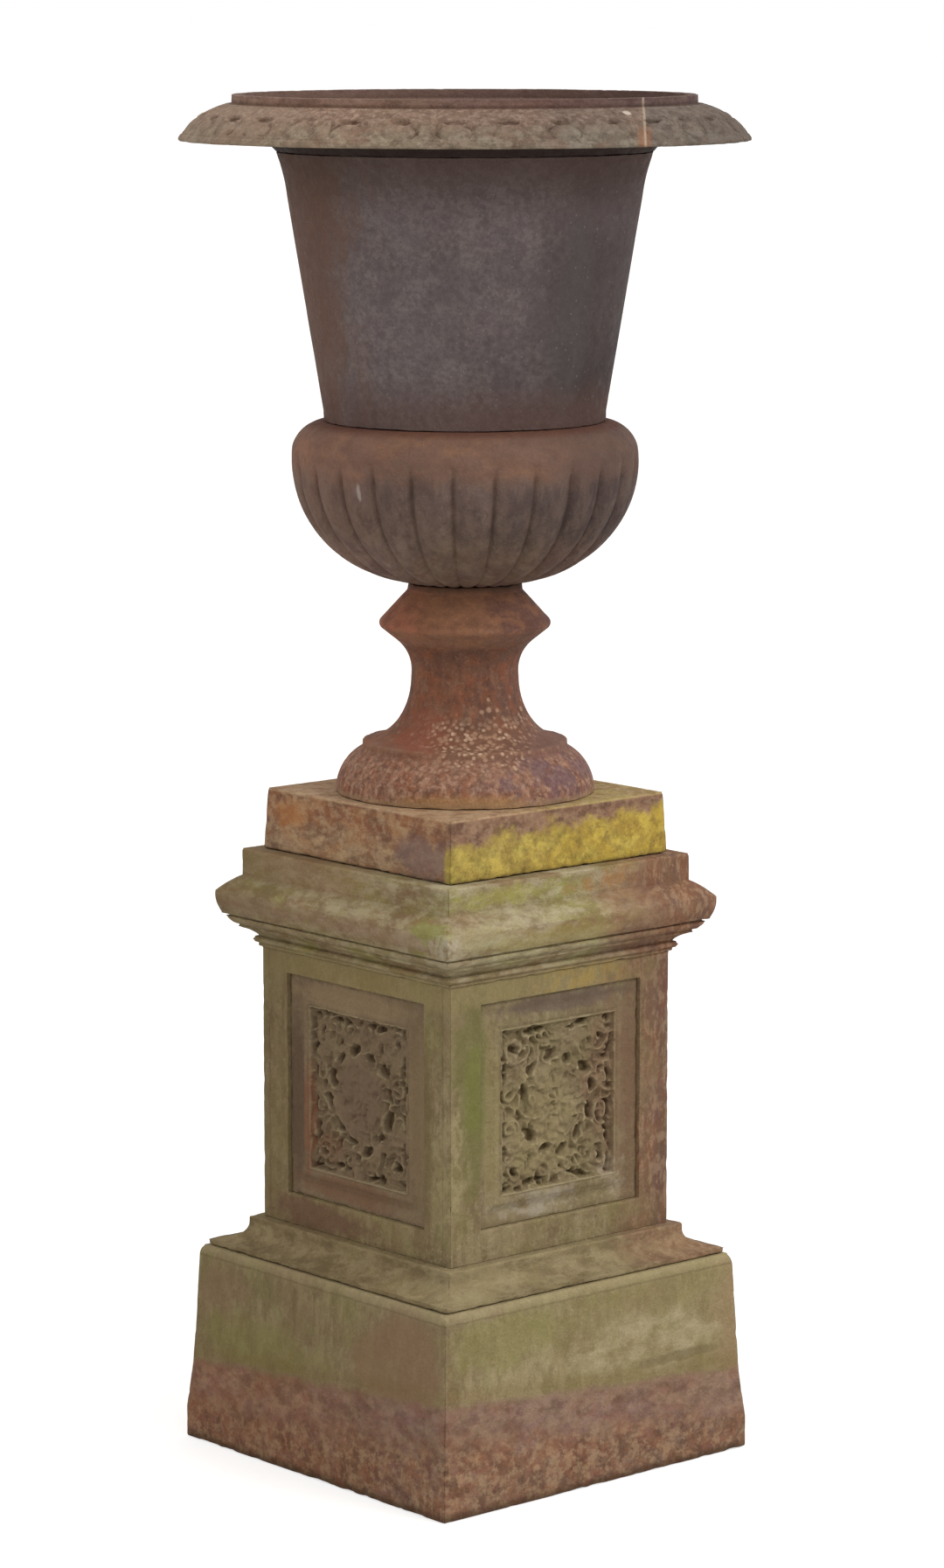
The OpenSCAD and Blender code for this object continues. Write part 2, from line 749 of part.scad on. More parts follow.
module tie_nuts() {
    color([0.36, 0.27, 0.22])
    at_ties() {
        nut(tie_r, z_block + washer_t);
        nut(tie_r, plinth_h - plinth_plate - washer_t - nut_height_factor*tie_r);
    }
}

module plaque_screws() {
    color([0.36, 0.27, 0.22])
    for (i = [0:3]) {
        rotate([0, 0, 90*i])
        at_plaque_screws()
        rotate([90, 0, 0]) {
            translate([0, 0, -plaque_plate]) cylinder(r = screw_r, h = plaque_plate + screw_grip);
            translate([0, 0, -plaque_plate - screw_r])
            cylinder(r = head_factor*screw_r, h = screw_r);
        }
    }
}

module centre_rod() {
    color([0.35, 0.28, 0.24])
    rod(rod_r, z_stem - block_plate - washer_t - nut_height_factor*rod_r - rod_end,
        z_bowl + bowl_floor + washer_t + nut_height_factor*rod_r + rod_end);
}

module rod_washers() {
    color([0.40, 0.33, 0.28]) {
        washer(rod_r, z_bowl + bowl_floor);
        washer(rod_r, z_stem - block_plate - washer_t);
    }
}

module rod_nuts() {
    color([0.36, 0.27, 0.22]) {
        nut(rod_r, z_bowl + bowl_floor + washer_t);
        nut(rod_r, z_stem - block_plate - washer_t - nut_height_factor*rod_r);
    }
}

module drum_bolts() {
    nut_h = nut_height_factor*bolt_r;
    color([0.35, 0.28, 0.24])
    around(bolt_count, bolt_circle) {
        rod(bolt_r, z_clip - nut_h - rod_end, z_drum + drum_flange_t);
        translate([0, 0, z_drum + drum_flange_t])
        cylinder(r = nut_factor*bolt_r, h = bolt_r, $fn = 6);
    }
}

module drum_nuts() {
    nut_h = nut_height_factor*bolt_r;
    color([0.36, 0.27, 0.22])
    around(bolt_count, bolt_circle) nut(bolt_r, z_clip - nut_h);
}

module drum_clips() {
    color([0.40, 0.33, 0.28])
    around(bolt_count, bolt_circle)
    difference() {
        translate([-clip_in, -clip_w/2, z_clip]) cube([clip_in + clip_out, clip_w, clip_t]);
        hole(bolt_r, z_clip - eps, z_clip + clip_t + eps);
    }
}

module rim_screws() {
    color([0.36, 0.27, 0.22])
    around(rim_screw_count, rim_circle) {
        rod(screw_r, z_rim - screw_grip, z_rim + seat_t);
        translate([0, 0, z_rim + seat_t]) cylinder(r = head_factor*screw_r, h = screw_r);
    }
}

plinth();
base_moulding();
panel_front();
panel_right();
panel_back();
panel_left();
plaque_front();
plaque_right();
plaque_back();
plaque_left();
cornice_cap();
foot_block();
stem_foot();
gadroon_bowl();
drum();
rim_ring();
tie_rods();
tie_washers();
tie_nuts();
plaque_screws();
centre_rod();
rod_washers();
rod_nuts();
drum_bolts();
drum_nuts();
drum_clips();
rim_screws();
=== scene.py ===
"""Rusted cast iron garden urn on a square panelled pedestal."""
import math

import bpy
import numpy as np
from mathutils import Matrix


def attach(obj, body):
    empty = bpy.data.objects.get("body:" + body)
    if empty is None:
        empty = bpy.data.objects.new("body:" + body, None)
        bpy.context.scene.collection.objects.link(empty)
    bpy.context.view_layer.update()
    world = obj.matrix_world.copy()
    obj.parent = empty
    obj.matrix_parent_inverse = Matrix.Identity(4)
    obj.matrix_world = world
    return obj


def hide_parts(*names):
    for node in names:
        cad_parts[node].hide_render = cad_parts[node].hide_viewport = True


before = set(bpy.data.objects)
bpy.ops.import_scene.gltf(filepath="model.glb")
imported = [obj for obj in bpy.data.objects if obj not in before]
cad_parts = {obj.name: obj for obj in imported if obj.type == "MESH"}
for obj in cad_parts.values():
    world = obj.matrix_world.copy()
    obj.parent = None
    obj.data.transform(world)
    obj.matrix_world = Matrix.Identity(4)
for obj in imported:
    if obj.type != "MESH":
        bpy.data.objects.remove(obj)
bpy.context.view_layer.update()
scene = bpy.context.scene
MM = 0.001

# sizes in mm, heights over the floor
PLINTH_HALF = 166.0
PLINTH_H = 165.0
Z_DIE = 190.5
DIE_SIDE = 237.5
DIE_H = 227.5
PANEL_T = 10.0
INNER_SIDE = DIE_SIDE - 2 * PANEL_T
PLAQUE_W = 172.0
PLAQUE_H = 184.0
Z_PLAQUE = 308.0
PLAQUE_BACK = 3.0
FIELD_W = 124.0
FIELD_H = 136.0
FIELD_DEEP = 10.6
Z_CAP = Z_DIE + DIE_H
Z_BLOCK = 500.0
Z_STEM = 550.5
STEM_H = 171.5
Z_BOWL = Z_STEM + STEM_H
Z_DRUM = 853.0
Z_RIM = 1069.0
ROD_HOLE = 8.3
LOBES = 26
MOTIFS = 32
SIDE_SPACING = 2.4
PANEL_SEED = 21
PLAQUE_SEED = 60

# outlines: points nearer than this are one, sharper turns are rounded, and their wear reaches so far
SAME_POINT = 0.05
SHARP_TURN = math.radians(22)
CORNER_REACH = 2.2

# marks that rust leaves on a casting
WAVE_SIZE = 38
PIT_SIZE = 5.5
CHIP_SIZE = 11
BUMP_M = 0.0022
SEED_STEP = 3.7

# cosine and sine of the camera's turn, which puts the face -X at the left and the face -Y at the right
SEEN_COS = 0.755
SEEN_SIN = 0.656


# noise
def lattice(ix, iy, iz, seed):
    """A number in -1..1 for each point of a lattice, always the same for a seed."""
    h = (ix * 374761393 + iy * 668265263 + iz * 1440662683 + seed * 974711) & 0xFFFFFFFF
    h = ((h ^ (h >> 13)) * 1274126177) & 0xFFFFFFFF
    return ((h ^ (h >> 16)) & 0xFFFFFF) / float(0xFFFFFF) * 2.0 - 1.0


def noise(p, size, seed=0):
    """Smooth value noise in -1..1 at points p (mm), with features of the given size (mm)."""
    q = np.asarray(p, float) / size + 97.3
    i = np.floor(q).astype(np.int64)
    f = q - i
    f = f * f * (3 - 2 * f)
    out = 0.0
    for dx, dy, dz in np.ndindex(2, 2, 2):
        w = (f[..., 0] if dx else 1 - f[..., 0]) * (f[..., 1] if dy else 1 - f[..., 1])
        w = w * (f[..., 2] if dz else 1 - f[..., 2])
        out = out + w * lattice(i[..., 0] + dx, i[..., 1] + dy, i[..., 2] + dz, seed)
    return out


def fbm(p, size, seed=0, octaves=3):
    """Noise with finer and fainter noise on it."""
    total, amp, norm = 0.0, 1.0, 0.0
    for k in range(octaves):
        total = total + amp * noise(p, size / 2**k, seed + k)
        norm += amp
        amp *= 0.55
    return total / norm


def smooth(x, lo, hi):
    """Smooth step from 0 at lo to 1 at hi."""
    t = np.clip((np.asarray(x, float) - lo) / (hi - lo), 0.0, 1.0)
    return t * t * (3 - 2 * t)


def line_at(x, middle, half):
    """A soft line, 1 in its middle."""
    return np.exp(-(((x - middle) / half) ** 2))


# outlines
def bow(p, q, bulge, n=14):
    """Curve from p to q that bulges to the right of the way it goes."""
    p, q = np.array(p, float), np.array(q, float)
    d = q - p
    t = np.linspace(0, 1, n + 1)[:, None]
    return (p + d * t + np.array([d[1], -d[0]]) / np.hypot(*d) * 4 * bulge * t * (1 - t)).tolist()


def oval(c, s, a0, a1, n=14):
    """Part of an oval with middle c and half sizes s, from angle a0 to a1 in degrees."""
    a = np.radians(np.linspace(a0, a1, n + 1))
    return np.stack([c[0] + s[0] * np.cos(a), c[1] + s[1] * np.sin(a)], 1).tolist()


def lift(points, up):
    """An outline drawn from height 0, moved up."""
    return [[p[0], p[1] + up] for p in points]


def rounded(points, radius):
    """Rounds the sharp corners of a closed outline. Gives its points, how each is bent, and its sense."""
    p = [np.array(points[0], float)]
    for q in points[1:]:
        if np.hypot(*(np.array(q) - p[-1])) > SAME_POINT:
            p.append(np.array(q, float))
    if np.hypot(*(p[0] - p[-1])) <= SAME_POINT:
        p.pop()
    before, after = p[-1:] + p[:-1], p[1:] + p[:1]
    sign = 1.0 if sum(a[0] * b[1] - b[0] * a[1] for a, b in zip(p, after)) > 0 else -1.0
    pts, bend = [], []
    for a, b, c in zip(before, p, after):
        u, v = b - a, c - b
        lu, lv = np.hypot(*u), np.hypot(*v)
        u, v = u / lu, v / lv
        turn = math.atan2(u[0] * v[1] - u[1] * v[0], float(u @ v))
        if abs(turn) < SHARP_TURN:
            pts.append(b)
            bend.append(0.0)
            continue
        cut = min(radius * math.tan(min(abs(turn), 2.6) / 2), 0.42 * lu, 0.42 * lv)
        e0, e1 = b - u * cut, b + v * cut
        for t in np.linspace(0, 1, 5):
            pts.append((1 - t) ** 2 * e0 + 2 * t * (1 - t) * b + t * t * e1)
            bend.append(sign * math.copysign(min(abs(turn) / 1.57, 1.0), turn))
    return pts, bend, sign


def outline(points, radius, step):
    """Rounds a closed outline and spaces its points evenly.

    Gives the points and, for each, how sharply convex and how sharply hollow the outline is near it."""
    pts, bend, sign = rounded(points, radius)
    out, bent = [], []
    for a, b, here in zip(pts, pts[1:] + pts[:1], bend):
        k = max(1, int(math.ceil(np.hypot(*(b - a)) / step)))
        out += [a + (b - a) * (j / k) for j in range(k)]
        bent += [here] + [0.0] * (k - 1)
    out, bent = np.array(out), np.array(bent)
    # spread the bend along the outline
    seg = np.hypot(*(np.roll(out, -1, 0) - out).T)
    pos = np.r_[0, np.cumsum(seg)[:-1]]
    d = np.abs(pos[:, None] - pos[None, :])
    d = np.minimum(d, seg.sum() - d)
    near = line_at(d, 0, CORNER_REACH)
    convex = (near * np.clip(bent, 0, 1)[None, :]).max(1)
    hollow = (near * np.clip(-bent, 0, 1)[None, :]).max(1)
    if sign < 0:
        out, convex, hollow = out[::-1], convex[::-1], hollow[::-1]
    return out, convex, hollow


def normals(points):
    """Outward normals of a closed outline."""
    t = np.roll(points, -1, 0) - np.roll(points, 1, 0)
    t /= np.maximum(np.hypot(*t.T), 1e-9)[:, None]
    return np.stack([t[:, 1], -t[:, 0]], 1)


# meshes
def make(place, verts, faces, hollow_shade, edge):
    """A piece from points in mm. place gives its name, its body, the CAD node it stands for and its slot.

    Two numbers for each point: how much painted shade it gets as a hollow, and how worn it is, which on
    carved crests is also a painted highlight."""
    name, body, node, slot = place
    mesh = bpy.data.meshes.new(name)
    verts = np.asarray(verts, np.float32) * MM
    if isinstance(faces, np.ndarray):
        mesh.vertices.add(len(verts))
        mesh.vertices.foreach_set("co", verts.ravel())
        mesh.loops.add(faces.size)
        mesh.loops.foreach_set("vertex_index", faces.astype(np.int32).ravel())
        mesh.polygons.add(len(faces))
        mesh.polygons.foreach_set("loop_start", np.arange(0, faces.size, faces.shape[1], dtype=np.int32))
    else:
        mesh.from_pydata(verts.tolist(), [], faces)
    mesh.update(calc_edges=True)
    mesh.polygons.foreach_set("use_smooth", np.ones(len(mesh.polygons), bool))
    for key, values in (("hollow_shade", hollow_shade), ("edge", edge)):
        layer = mesh.attributes.new(key, "FLOAT", "POINT")
        layer.data.foreach_set("value", np.asarray(values, np.float32).ravel())
    mesh.validate()
    obj = bpy.data.objects.new(name, mesh)
    scene.collection.objects.link(obj)
    mesh.materials.append(IRONS[slot])
    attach(obj, body)
    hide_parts(node)


def grid_faces(rows, cols, closed=True):
    """Quads between the points of a grid, which is closed both ways or open both ways."""
    r = np.arange(rows if closed else rows - 1)
    c = np.arange(cols if closed else cols - 1)
    a, b = np.meshgrid(r, c, indexing="ij")
    a2, b2 = (a + 1) % rows, (b + 1) % cols
    return np.stack([a * cols + b, a * cols + b2, a2 * cols + b2, a2 * cols + b], -1).reshape(-1, 4)


def wear(points, convex, seed, chip=0.7, sway=0.2, pit=0.22):
    """How far a rusted surface has gone back (mm): slow waves, pits and chipped edges."""
    waves = sway * (0.5 + 0.5 * fbm(points, WAVE_SIZE, seed, 2))
    pits = pit * smooth(fbm(points, PIT_SIZE, seed + 5, 2), 0.05, 0.7)
    chips = smooth(fbm(points, CHIP_SIZE, seed + 9, 2), -0.15, 0.55)
    return waves + pits + convex * (0.15 + chip * chips)


def spun(verts, turn):
    """Points turned about the upright axis."""
    c, s = math.cos(turn), math.sin(turn)
    x, y, z = np.asarray(verts).T
    return np.stack([x * c - y * s, x * s + y * c, z], 1)


def turned(place, points, cols, radius, step, relief=None, shade=0.6, **worn):
    """A turned piece from a closed outline of radii and heights.

    relief(angle, r, z) says how far the surface is sunk, how much painted shade it gets, and how much it
    is lightened, for wear and, on carved crests, as a painted highlight."""
    pts, convex, hollow = outline(points, radius, step)
    nrm = normals(pts)
    r, a = np.meshgrid(pts[:, 0], np.arange(cols) * 2 * math.pi / cols, indexing="ij")
    z = np.repeat(pts[:, 1:], cols, 1)
    high = np.repeat(convex[:, None], cols, 1)
    # hollow corners of the outline get painted shade
    hollow_shade = np.repeat(hollow[:, None], cols, 1) * shade
    back = wear(np.stack([r * np.cos(a), r * np.sin(a), z], -1), high, **worn)
    if relief:
        sink, dark, sharp = relief(a, r, z)
        back = back + sink
        hollow_shade = np.maximum(hollow_shade, dark)
        high = np.maximum(high, sharp)
    r, z = r - nrm[:, :1] * back, z - nrm[:, 1:] * back
    verts = np.stack([r * np.cos(a), r * np.sin(a), z], -1).reshape(-1, 3)
    make(place, verts, grid_faces(len(pts), cols), hollow_shade, high)


def squared(place, points, corner, radius, step, shade=0.6, **worn):
    """A square piece from a closed outline of half sides and heights."""
    pts, convex, hollow = outline(points, radius, step)
    nrm = normals(pts)
    half = pts[:, 0].max()
    # places along one side, closer together near its ends, and from them round all four
    near = np.array([0.0, 1.0, 2.2, 4.0, 7.0]) / half
    middle = np.linspace(-1 + near[-1], 1 - near[-1], max(4, int(round(2 * half / SIDE_SPACING))))
    line = np.unique(np.r_[-1 + near, middle, 1 - near[::-1]].round(6))[:-1]
    ring = []
    for k in range(4):
        c, s = math.cos(k * math.pi / 2), math.sin(k * math.pi / 2)
        ring += [(c * t + s, s * t - c) for t in line]
    u, v = np.array(ring).T
    at_corner = line_at((1 - np.abs(np.tile(line, 4))) * half, 0, 3.0)
    x, y = pts[:, :1] * u, pts[:, :1] * v
    z = np.repeat(pts[:, 1:], len(u), 1)
    outer = smooth(nrm[:, :1], 0.2, 0.6)
    high = np.clip(convex[:, None] + at_corner * outer, 0, 1)
    # the corner itself is pulled in, so that it is rounded
    pull = corner * 0.3 * line_at((1 - np.minimum(np.abs(u), np.abs(v))) * half, 0, corner)
    back = wear(np.stack([x, y, z], -1), high, **worn) + pull * outer
    # a point moves in along its side's own normal, at a corner along both
    sx = np.where(np.abs(u) > 0.9999, np.sign(u), 0.0)
    sy = np.where(np.abs(v) > 0.9999, np.sign(v), 0.0)
    inward = nrm[:, :1] * back
    verts = np.stack([x - sx * inward, y - sy * inward, z - nrm[:, 1:] * back], -1).reshape(-1, 3)
    # hollow corners of the outline get painted shade
    hollow_shade = np.repeat(hollow[:, None], len(u), 1) * shade
    make(place, verts, grid_faces(len(pts), len(u)), hollow_shade, high)


def rectangle(width, low, high):
    """Corners of an upright rectangle, from the lower left one round."""
    return np.array([(-width / 2, low), (width / 2, low), (width / 2, high), (-width / 2, high)])


def panel(side_name, turn, width, ends):
    """A die panel facing -Y, turned about Z. ends is 1 if its upright ends are rounded, else 0."""
    low, high = Z_DIE, Z_DIE + DIE_H
    open_low, open_high = Z_PLAQUE - PLAQUE_H / 2, Z_PLAQUE + PLAQUE_H / 2
    inner, outer = rectangle(PLAQUE_W, open_low, open_high), rectangle(width, low, high)
    # section from the edge of the opening out over the face, round the outside and back
    edge = [0.0, 0.6, 1.4, 2.6, 4.2]
    deep = [0.6, 1.5, 3.0, 5.0, 7.5, PANEL_T]
    rows = [("in", e, 0.0) for e in edge] + [("mid", k / 9, 0.0) for k in range(1, 9)]
    rows += [("out", e, 0.0) for e in edge[::-1]] + [("out", 0.0, d) for d in deep]
    rows += [("in", 0.0, d) for d in deep[::-1]]
    line = np.unique(np.r_[np.linspace(0, 1, 91), 0.004, 0.01, 0.018, 0.982, 0.99, 0.996])[:-1]
    side = np.repeat(np.arange(4), len(line))
    share = np.tile(line, 4)[:, None]
    start = inner[side] + (inner[(side + 1) % 4] - inner[side]) * share
    way = outer[side] + (outer[(side + 1) % 4] - outer[side]) * share - start
    stile = (width - PLAQUE_W) / 2
    span = np.array([open_low - low, stile, high - open_high, stile])[side]
    up = side % 2 == 1
    verts, worn, hollow_shade = [], [], []
    for kind, e, d in rows:
        if kind == "in":
            f = e / span
        elif kind == "out":
            f = 1 - e / span
        else:
            f = edge[-1] / span + (1 - edge[-1] / span - edge[-1] / span) * e
        x, z = (start + way * f[:, None]).T
        near_face = line_at(d, 0, 2.0)
        c_in = line_at(f * span, 0, 1.6) * near_face
        c_out = line_at((1 - f) * span, 0, 2.2) * near_face * np.where(up, ends, 0.35)
        at = np.stack([x, np.full(len(x), d - DIE_SIDE / 2), z], 1)
        back = wear(at, np.maximum(c_in * 0.7, c_out), PANEL_SEED, chip=0.8)
        back = back * (1.0 if d == 0.0 else near_face * 0.3) * (0.5 if kind == "in" and d > 0 else 1)
        outward = np.where(up, np.sign(x), 0)
        upward = np.where(up, 0, np.sign(z - (low + high) / 2))
        # the corners are rounded sideways as well
        if d < 2:
            x = x + outward * (c_in * 0.5 - c_out * 1.1)
            z = z + upward * (c_in * 0.5)
        if kind == "out" and d > 0:
            x = x - outward * wear(at, c_out, PANEL_SEED, chip=0.8) * ends
        verts.append(np.stack([x, at[:, 1] + back, z], 1))
        worn.append(np.maximum(c_in, c_out))
        # painted shade on the walls of the opening, back from the face
        hollow_shade.append(np.where(f * span < 0.01, 0.5 * smooth(d, 1, 5), 0.0))
    place = ("die_" + side_name, "pedestal", "panel_" + side_name, "pedestal_iron")
    faces = grid_faces(len(rows), len(side))[:, ::-1]
    make(place, spun(np.concatenate(verts), turn), faces, np.concatenate(hollow_shade), np.concatenate(worn))


# the ornament of a plaque
def bump(d, half):
    """Rounded ridge of half width half, at distance d from its middle line."""
    return np.sqrt(np.clip(1 - (d / half) ** 2, 0, 1))


def spiral(x, z, middle, r0, r1, turns, start, hand):
    """Least distance from points to a spiral, and how far along it that is."""
    best = np.full(x.shape, 1e9)
    where = np.zeros(x.shape)
    for t in np.linspace(0, 1, 46):
        r = r0 + (r1 - r0) * t
        a = math.radians(start) + hand * turns * 2 * math.pi * t
        d = np.hypot(x - middle[0] - r * math.cos(a), z - middle[1] - r * math.sin(a))
        near = d < best
        best = np.where(near, d, best)
        where = np.where(near, t, where)
    return best, where


def turned_axes(x, z, origin, angle):
    """Coordinates along a direction and across it, from an origin."""
    dx, dz = x - origin[0], z - origin[1]
    return dx * math.cos(angle) + dz * math.sin(angle), -dx * math.sin(angle) + dz * math.cos(angle)


def leaf(x, z, origin, angle, length, width):
    """Height 0..1 of a pointed leaf from its origin, with a rib along either side of its middle."""
    u, v = turned_axes(x, z, origin, math.radians(angle))
    half = width * np.sin(math.pi * np.clip(u / length, 0, 1) ** 0.8) ** 0.8 + 1e-3
    body = np.where((u > 0) & (u < length), np.clip(1 - (np.abs(v) / half) ** 2, 0, 1) ** 0.5, 0)
    rib = 0.35 * line_at(np.abs(v), 0.42 * half, 0.16 * width + 0.3)
    return np.clip(body - rib * body, 0, 1)


def pocket(x, z, middle, angle, length, width):
    """Depth 0..1 of an oval hole in the carving."""
    u, v = turned_axes(x, z, middle, angle)
    return smooth(np.hypot(u / length, v / width), 1.25, 0.7)


def pockets(x, z):
    """Depth 0..1 of the holes cut down between the leaves: a ring of them, and some in each quarter."""
    side, top = FIELD_W / 2, FIELD_H / 2
    holes = np.zeros(x.shape)
    for k in range(12):
        t = (k + 0.35) * math.pi / 6
        away = 37.5 + 2.2 * math.sin(2.3 * k)
        deep, length, width = (0.95, 7.6, 4.3) if k % 2 else (0.8, 5.6, 3.4)
        middle = away * math.cos(t), away * math.sin(t) * 1.04
        holes = np.maximum(holes, deep * pocket(x, z, middle, t + 1.9, length, width))
    x, z = np.abs(x), np.abs(z)
    for px, pz, angle, length, width in (
        (side - 6, top - 34, 1.5, 7, 2.8),
        (side - 34, top - 6, 0.1, 6, 2.6),
        (side - 7, top - 6, 0.7, 4, 3.0),
        (side - 31, top - 23, 0.9, 6, 3.2),
        (side - 17, top - 18, 0.3, 4.2, 3.2),
        (side - 6, 14, 1.4, 6, 3.0),
        (16, top - 7, 0.2, 5, 2.6),
    ):
        holes = np.maximum(holes, 0.8 * pocket(x, z, (px, pz), angle, length, width))
    return holes


def boss(x, z, at):
    """Height of the round boss in the middle: petals in two rings, a knob and a raised ring."""
    r, a = np.hypot(x, z), np.arctan2(z, x)
    petal = np.abs(np.cos(4 * a + 0.03 * r)) ** 0.8
    outer_ring = 0.50 + 0.38 * petal * bump(r - 19.5, 8.0)
    inner_ring = 0.52 + 0.34 * np.abs(np.cos(3 * a + 0.6)) * bump(r - 8.0, 4.5)
    high = np.where(r < 12.0, inner_ring, outer_ring) + 0.10 * noise(at, 4.4, 17)
    high = np.maximum(high, 0.9 * bump(r, 4.0))
    high = np.maximum(high, 0.86 * bump(r - 29.3, 3.0))
    return high * bump(r, 32.5) ** 0.4


def scrolls(x, z):
    """Height of the corner scrolls, the leaves round them and the side scrolls, alike in each quarter."""
    x, z = np.abs(x), np.abs(z)
    side, top = FIELD_W / 2, FIELD_H / 2
    cx, cz = side - 17.0, top - 18.0
    high = np.zeros(x.shape)
    for middle, r0, r1, turns, start, hand, height, half, less in (
        ((cx, cz), 13.0, 3.0, 1.0, 215, 1, 0.84, 3.4, 0.8),
        ((14.0, top - 13.0), 9.5, 2.5, 1.1, 20, -1, 0.82, 2.9, 0.6),
        ((side - 13.0, 15.0), 9.5, 2.5, 1.1, 70, 1, 0.82, 2.9, 0.6),
    ):
        d, t = spiral(x, z, middle, r0, r1, turns, start, hand)
        high = np.maximum(high, height * bump(d, half - less * t))
    for height, dx, dz, angle, length, width in (
        (0.78, -12, -13, 98, 22, 4.6), (0.74, -8, -14, -12, 21, 4.4), (0.78, 2, 4, 42, 14, 4.0),
    ):
        high = np.maximum(high, height * leaf(x, z, (cx + dx, cz + dz), angle, length, width))
    return high


def ornament(x, z, seed):
    """Height of the carved foliage over the floor of its field, 0..1."""
    # curling strands with hollows between them lie under the rest
    at = np.stack([x, np.full(x.shape, 7.0 * seed), z], -1)
    strand = np.clip(1.25 - 3.2 * np.abs(noise(at, 12.0, seed)), 0, 1)
    vein = np.clip(1.2 - 3.0 * np.abs(noise(at, 8.0, seed + 1)), 0, 1)
    low = 0.36 + 0.46 * np.maximum(strand, 0.85 * vein) ** 0.8 + 0.07 * noise(at, 3.0, 6)
    h = np.maximum(np.maximum(low * (1 - pockets(x, z)), boss(x, z, at)), scrolls(x, z))
    return np.clip(h * (1 + 0.14 * noise(at, 3.8, 8)), 0, 0.98)


def around(grid, n):
    """Mean of a grid over n cells each way."""
    for axis in (0, 1):
        pad = [(n, n) if k == axis else (0, 0) for k in (0, 1)]
        total = np.cumsum(np.pad(grid, pad, "edge"), axis)
        size = total.shape[axis]
        ahead = np.take(total, range(2 * n, size), axis)
        grid = (ahead - np.take(total, range(size - 2 * n), axis)) / (2 * n)
    return grid


def plaque_face(x, z, w, h, face, seed):
    """How far the face of a plaque is sunk, how much painted shade it gets, and how worn it is, with a
    painted highlight on the crests of the carving.
    """
    at = np.stack([x, np.full(x.shape, 1.0 * seed), z], -1)
    x_bent = x + 2.6 * noise(at, 17, seed + 1) + 1.4 * noise(at, 6, seed + 3)
    z_bent = z + 2.6 * noise(at, 17, seed + 2) + 1.4 * noise(at, 6, seed + 4)
    inside = np.minimum(FIELD_W / 2 - np.abs(x), FIELD_H / 2 - np.abs(z))
    to_edge = np.minimum(w / 2 - np.abs(x), h / 2 - np.abs(z))
    carved = (FIELD_DEEP - 0.8) * ornament(x_bent, z_bent, seed) * smooth(inside, -0.5, 0.6)
    sink = FIELD_DEEP * smooth(inside, -0.8, 2.2) - carved
    # border: a soft bead beside the field and a wide hollow outside it
    bead = 0.7 * smooth(np.abs(inside + 4.5), 1.0, 4.0)
    sink = sink + (inside < 0) * (bead + 1.8 * line_at(inside, -13.0, 4.5))
    convex = np.clip(line_at(to_edge, 0, 1.3) + 0.6 * np.exp(-((inside + 0.4) ** 2) / 1.2), 0, 1)
    at = np.stack([x, np.full(x.shape, face), z + Z_PLAQUE], -1)
    sink = sink + wear(at + seed * 31.0, convex, seed, chip=0.7, sway=0.25, pit=0.45)
    sink = np.clip(sink, 0, FIELD_DEEP + 0.4)
    hollow = sink - around(sink, 5)
    # painted shade in the deep pockets and local hollows of the carving; painted highlight on its crests,
    # and lighter worn edges
    dark = 0.55 * smooth(sink, 5.0, 10.5) * (inside > 0) + 0.6 * smooth(hollow, 0.4, 3.2)
    high = 0.75 * smooth(-hollow, 0.4, 2.4) * (inside > 0) + convex * 0.5
    return sink, np.clip(dark, 0, 1), np.clip(high, 0, 1)


def plaque(side_name, turn, seed):
    """One framed plaque facing -Y, turned about Z."""
    gap = 0.3
    lap = 8.0
    face = -DIE_SIDE / 2 + PLAQUE_BACK
    w, h = PLAQUE_W - 2 * gap, PLAQUE_H - 2 * gap
    nx, nz = 240, 256
    x, z = np.meshgrid(np.linspace(-w / 2, w / 2, nx), np.linspace(-h / 2, h / 2, nz), indexing="xy")
    sink, dark, high = plaque_face(x, z, w, h, face, seed)
    front = np.stack([x, face + sink, z + Z_PLAQUE], -1).reshape(-1, 3)
    verts = [front]
    hollow_shade, edge = [dark.ravel()], [high.ravel()]
    faces = list(map(tuple, grid_faces(nz, nx, False)))
    # its rim goes back to the plate, out and round to the back
    ring = list(range(nx)) + [k * nx + nx - 1 for k in range(1, nz)]
    ring += [(nz - 1) * nx + i for i in range(nx - 2, -1, -1)] + [k * nx for k in range(nz - 2, 0, -1)]
    m = len(ring)
    last = ring
    plate = -DIE_SIDE / 2 + PANEL_T
    sides = ((face + 2.5, 0.0), (plate, 0.0), (plate, lap + gap), (plate + PANEL_T, lap + gap))
    for y, out in sides:
        p = front[ring]
        p[:, 0] *= (w / 2 + out) / (w / 2)
        p[:, 1] = y
        p[:, 2] = (p[:, 2] - Z_PLAQUE) * (h / 2 + out) / (h / 2) + Z_PLAQUE
        first = sum(map(len, verts))
        verts.append(p)
        # the plaque's sides, down in the gap, get painted shade
        hollow_shade.append(np.full(m, 0.8))
        edge.append(np.zeros(m))
        now = list(range(first, first + m))
        faces += [(last[k], now[k], now[(k + 1) % m], last[(k + 1) % m]) for k in range(m)]
        last = now
    faces.append(tuple(last[::-1]))
    place = ("relief_" + side_name, "pedestal", "plaque_" + side_name, "plaque_iron")
    make(place, spun(np.concatenate(verts), turn), faces, np.concatenate(hollow_shade), np.concatenate(edge))


# materials
def linear(hexa):
    """A colour in linear light from its written form."""
    v = [int(hexa[i : i + 2], 16) / 255 for i in (1, 3, 5)]
    return tuple(c / 12.92 if c <= 0.04045 else ((c + 0.055) / 1.055) ** 2.4 for c in v) + (1.0,)


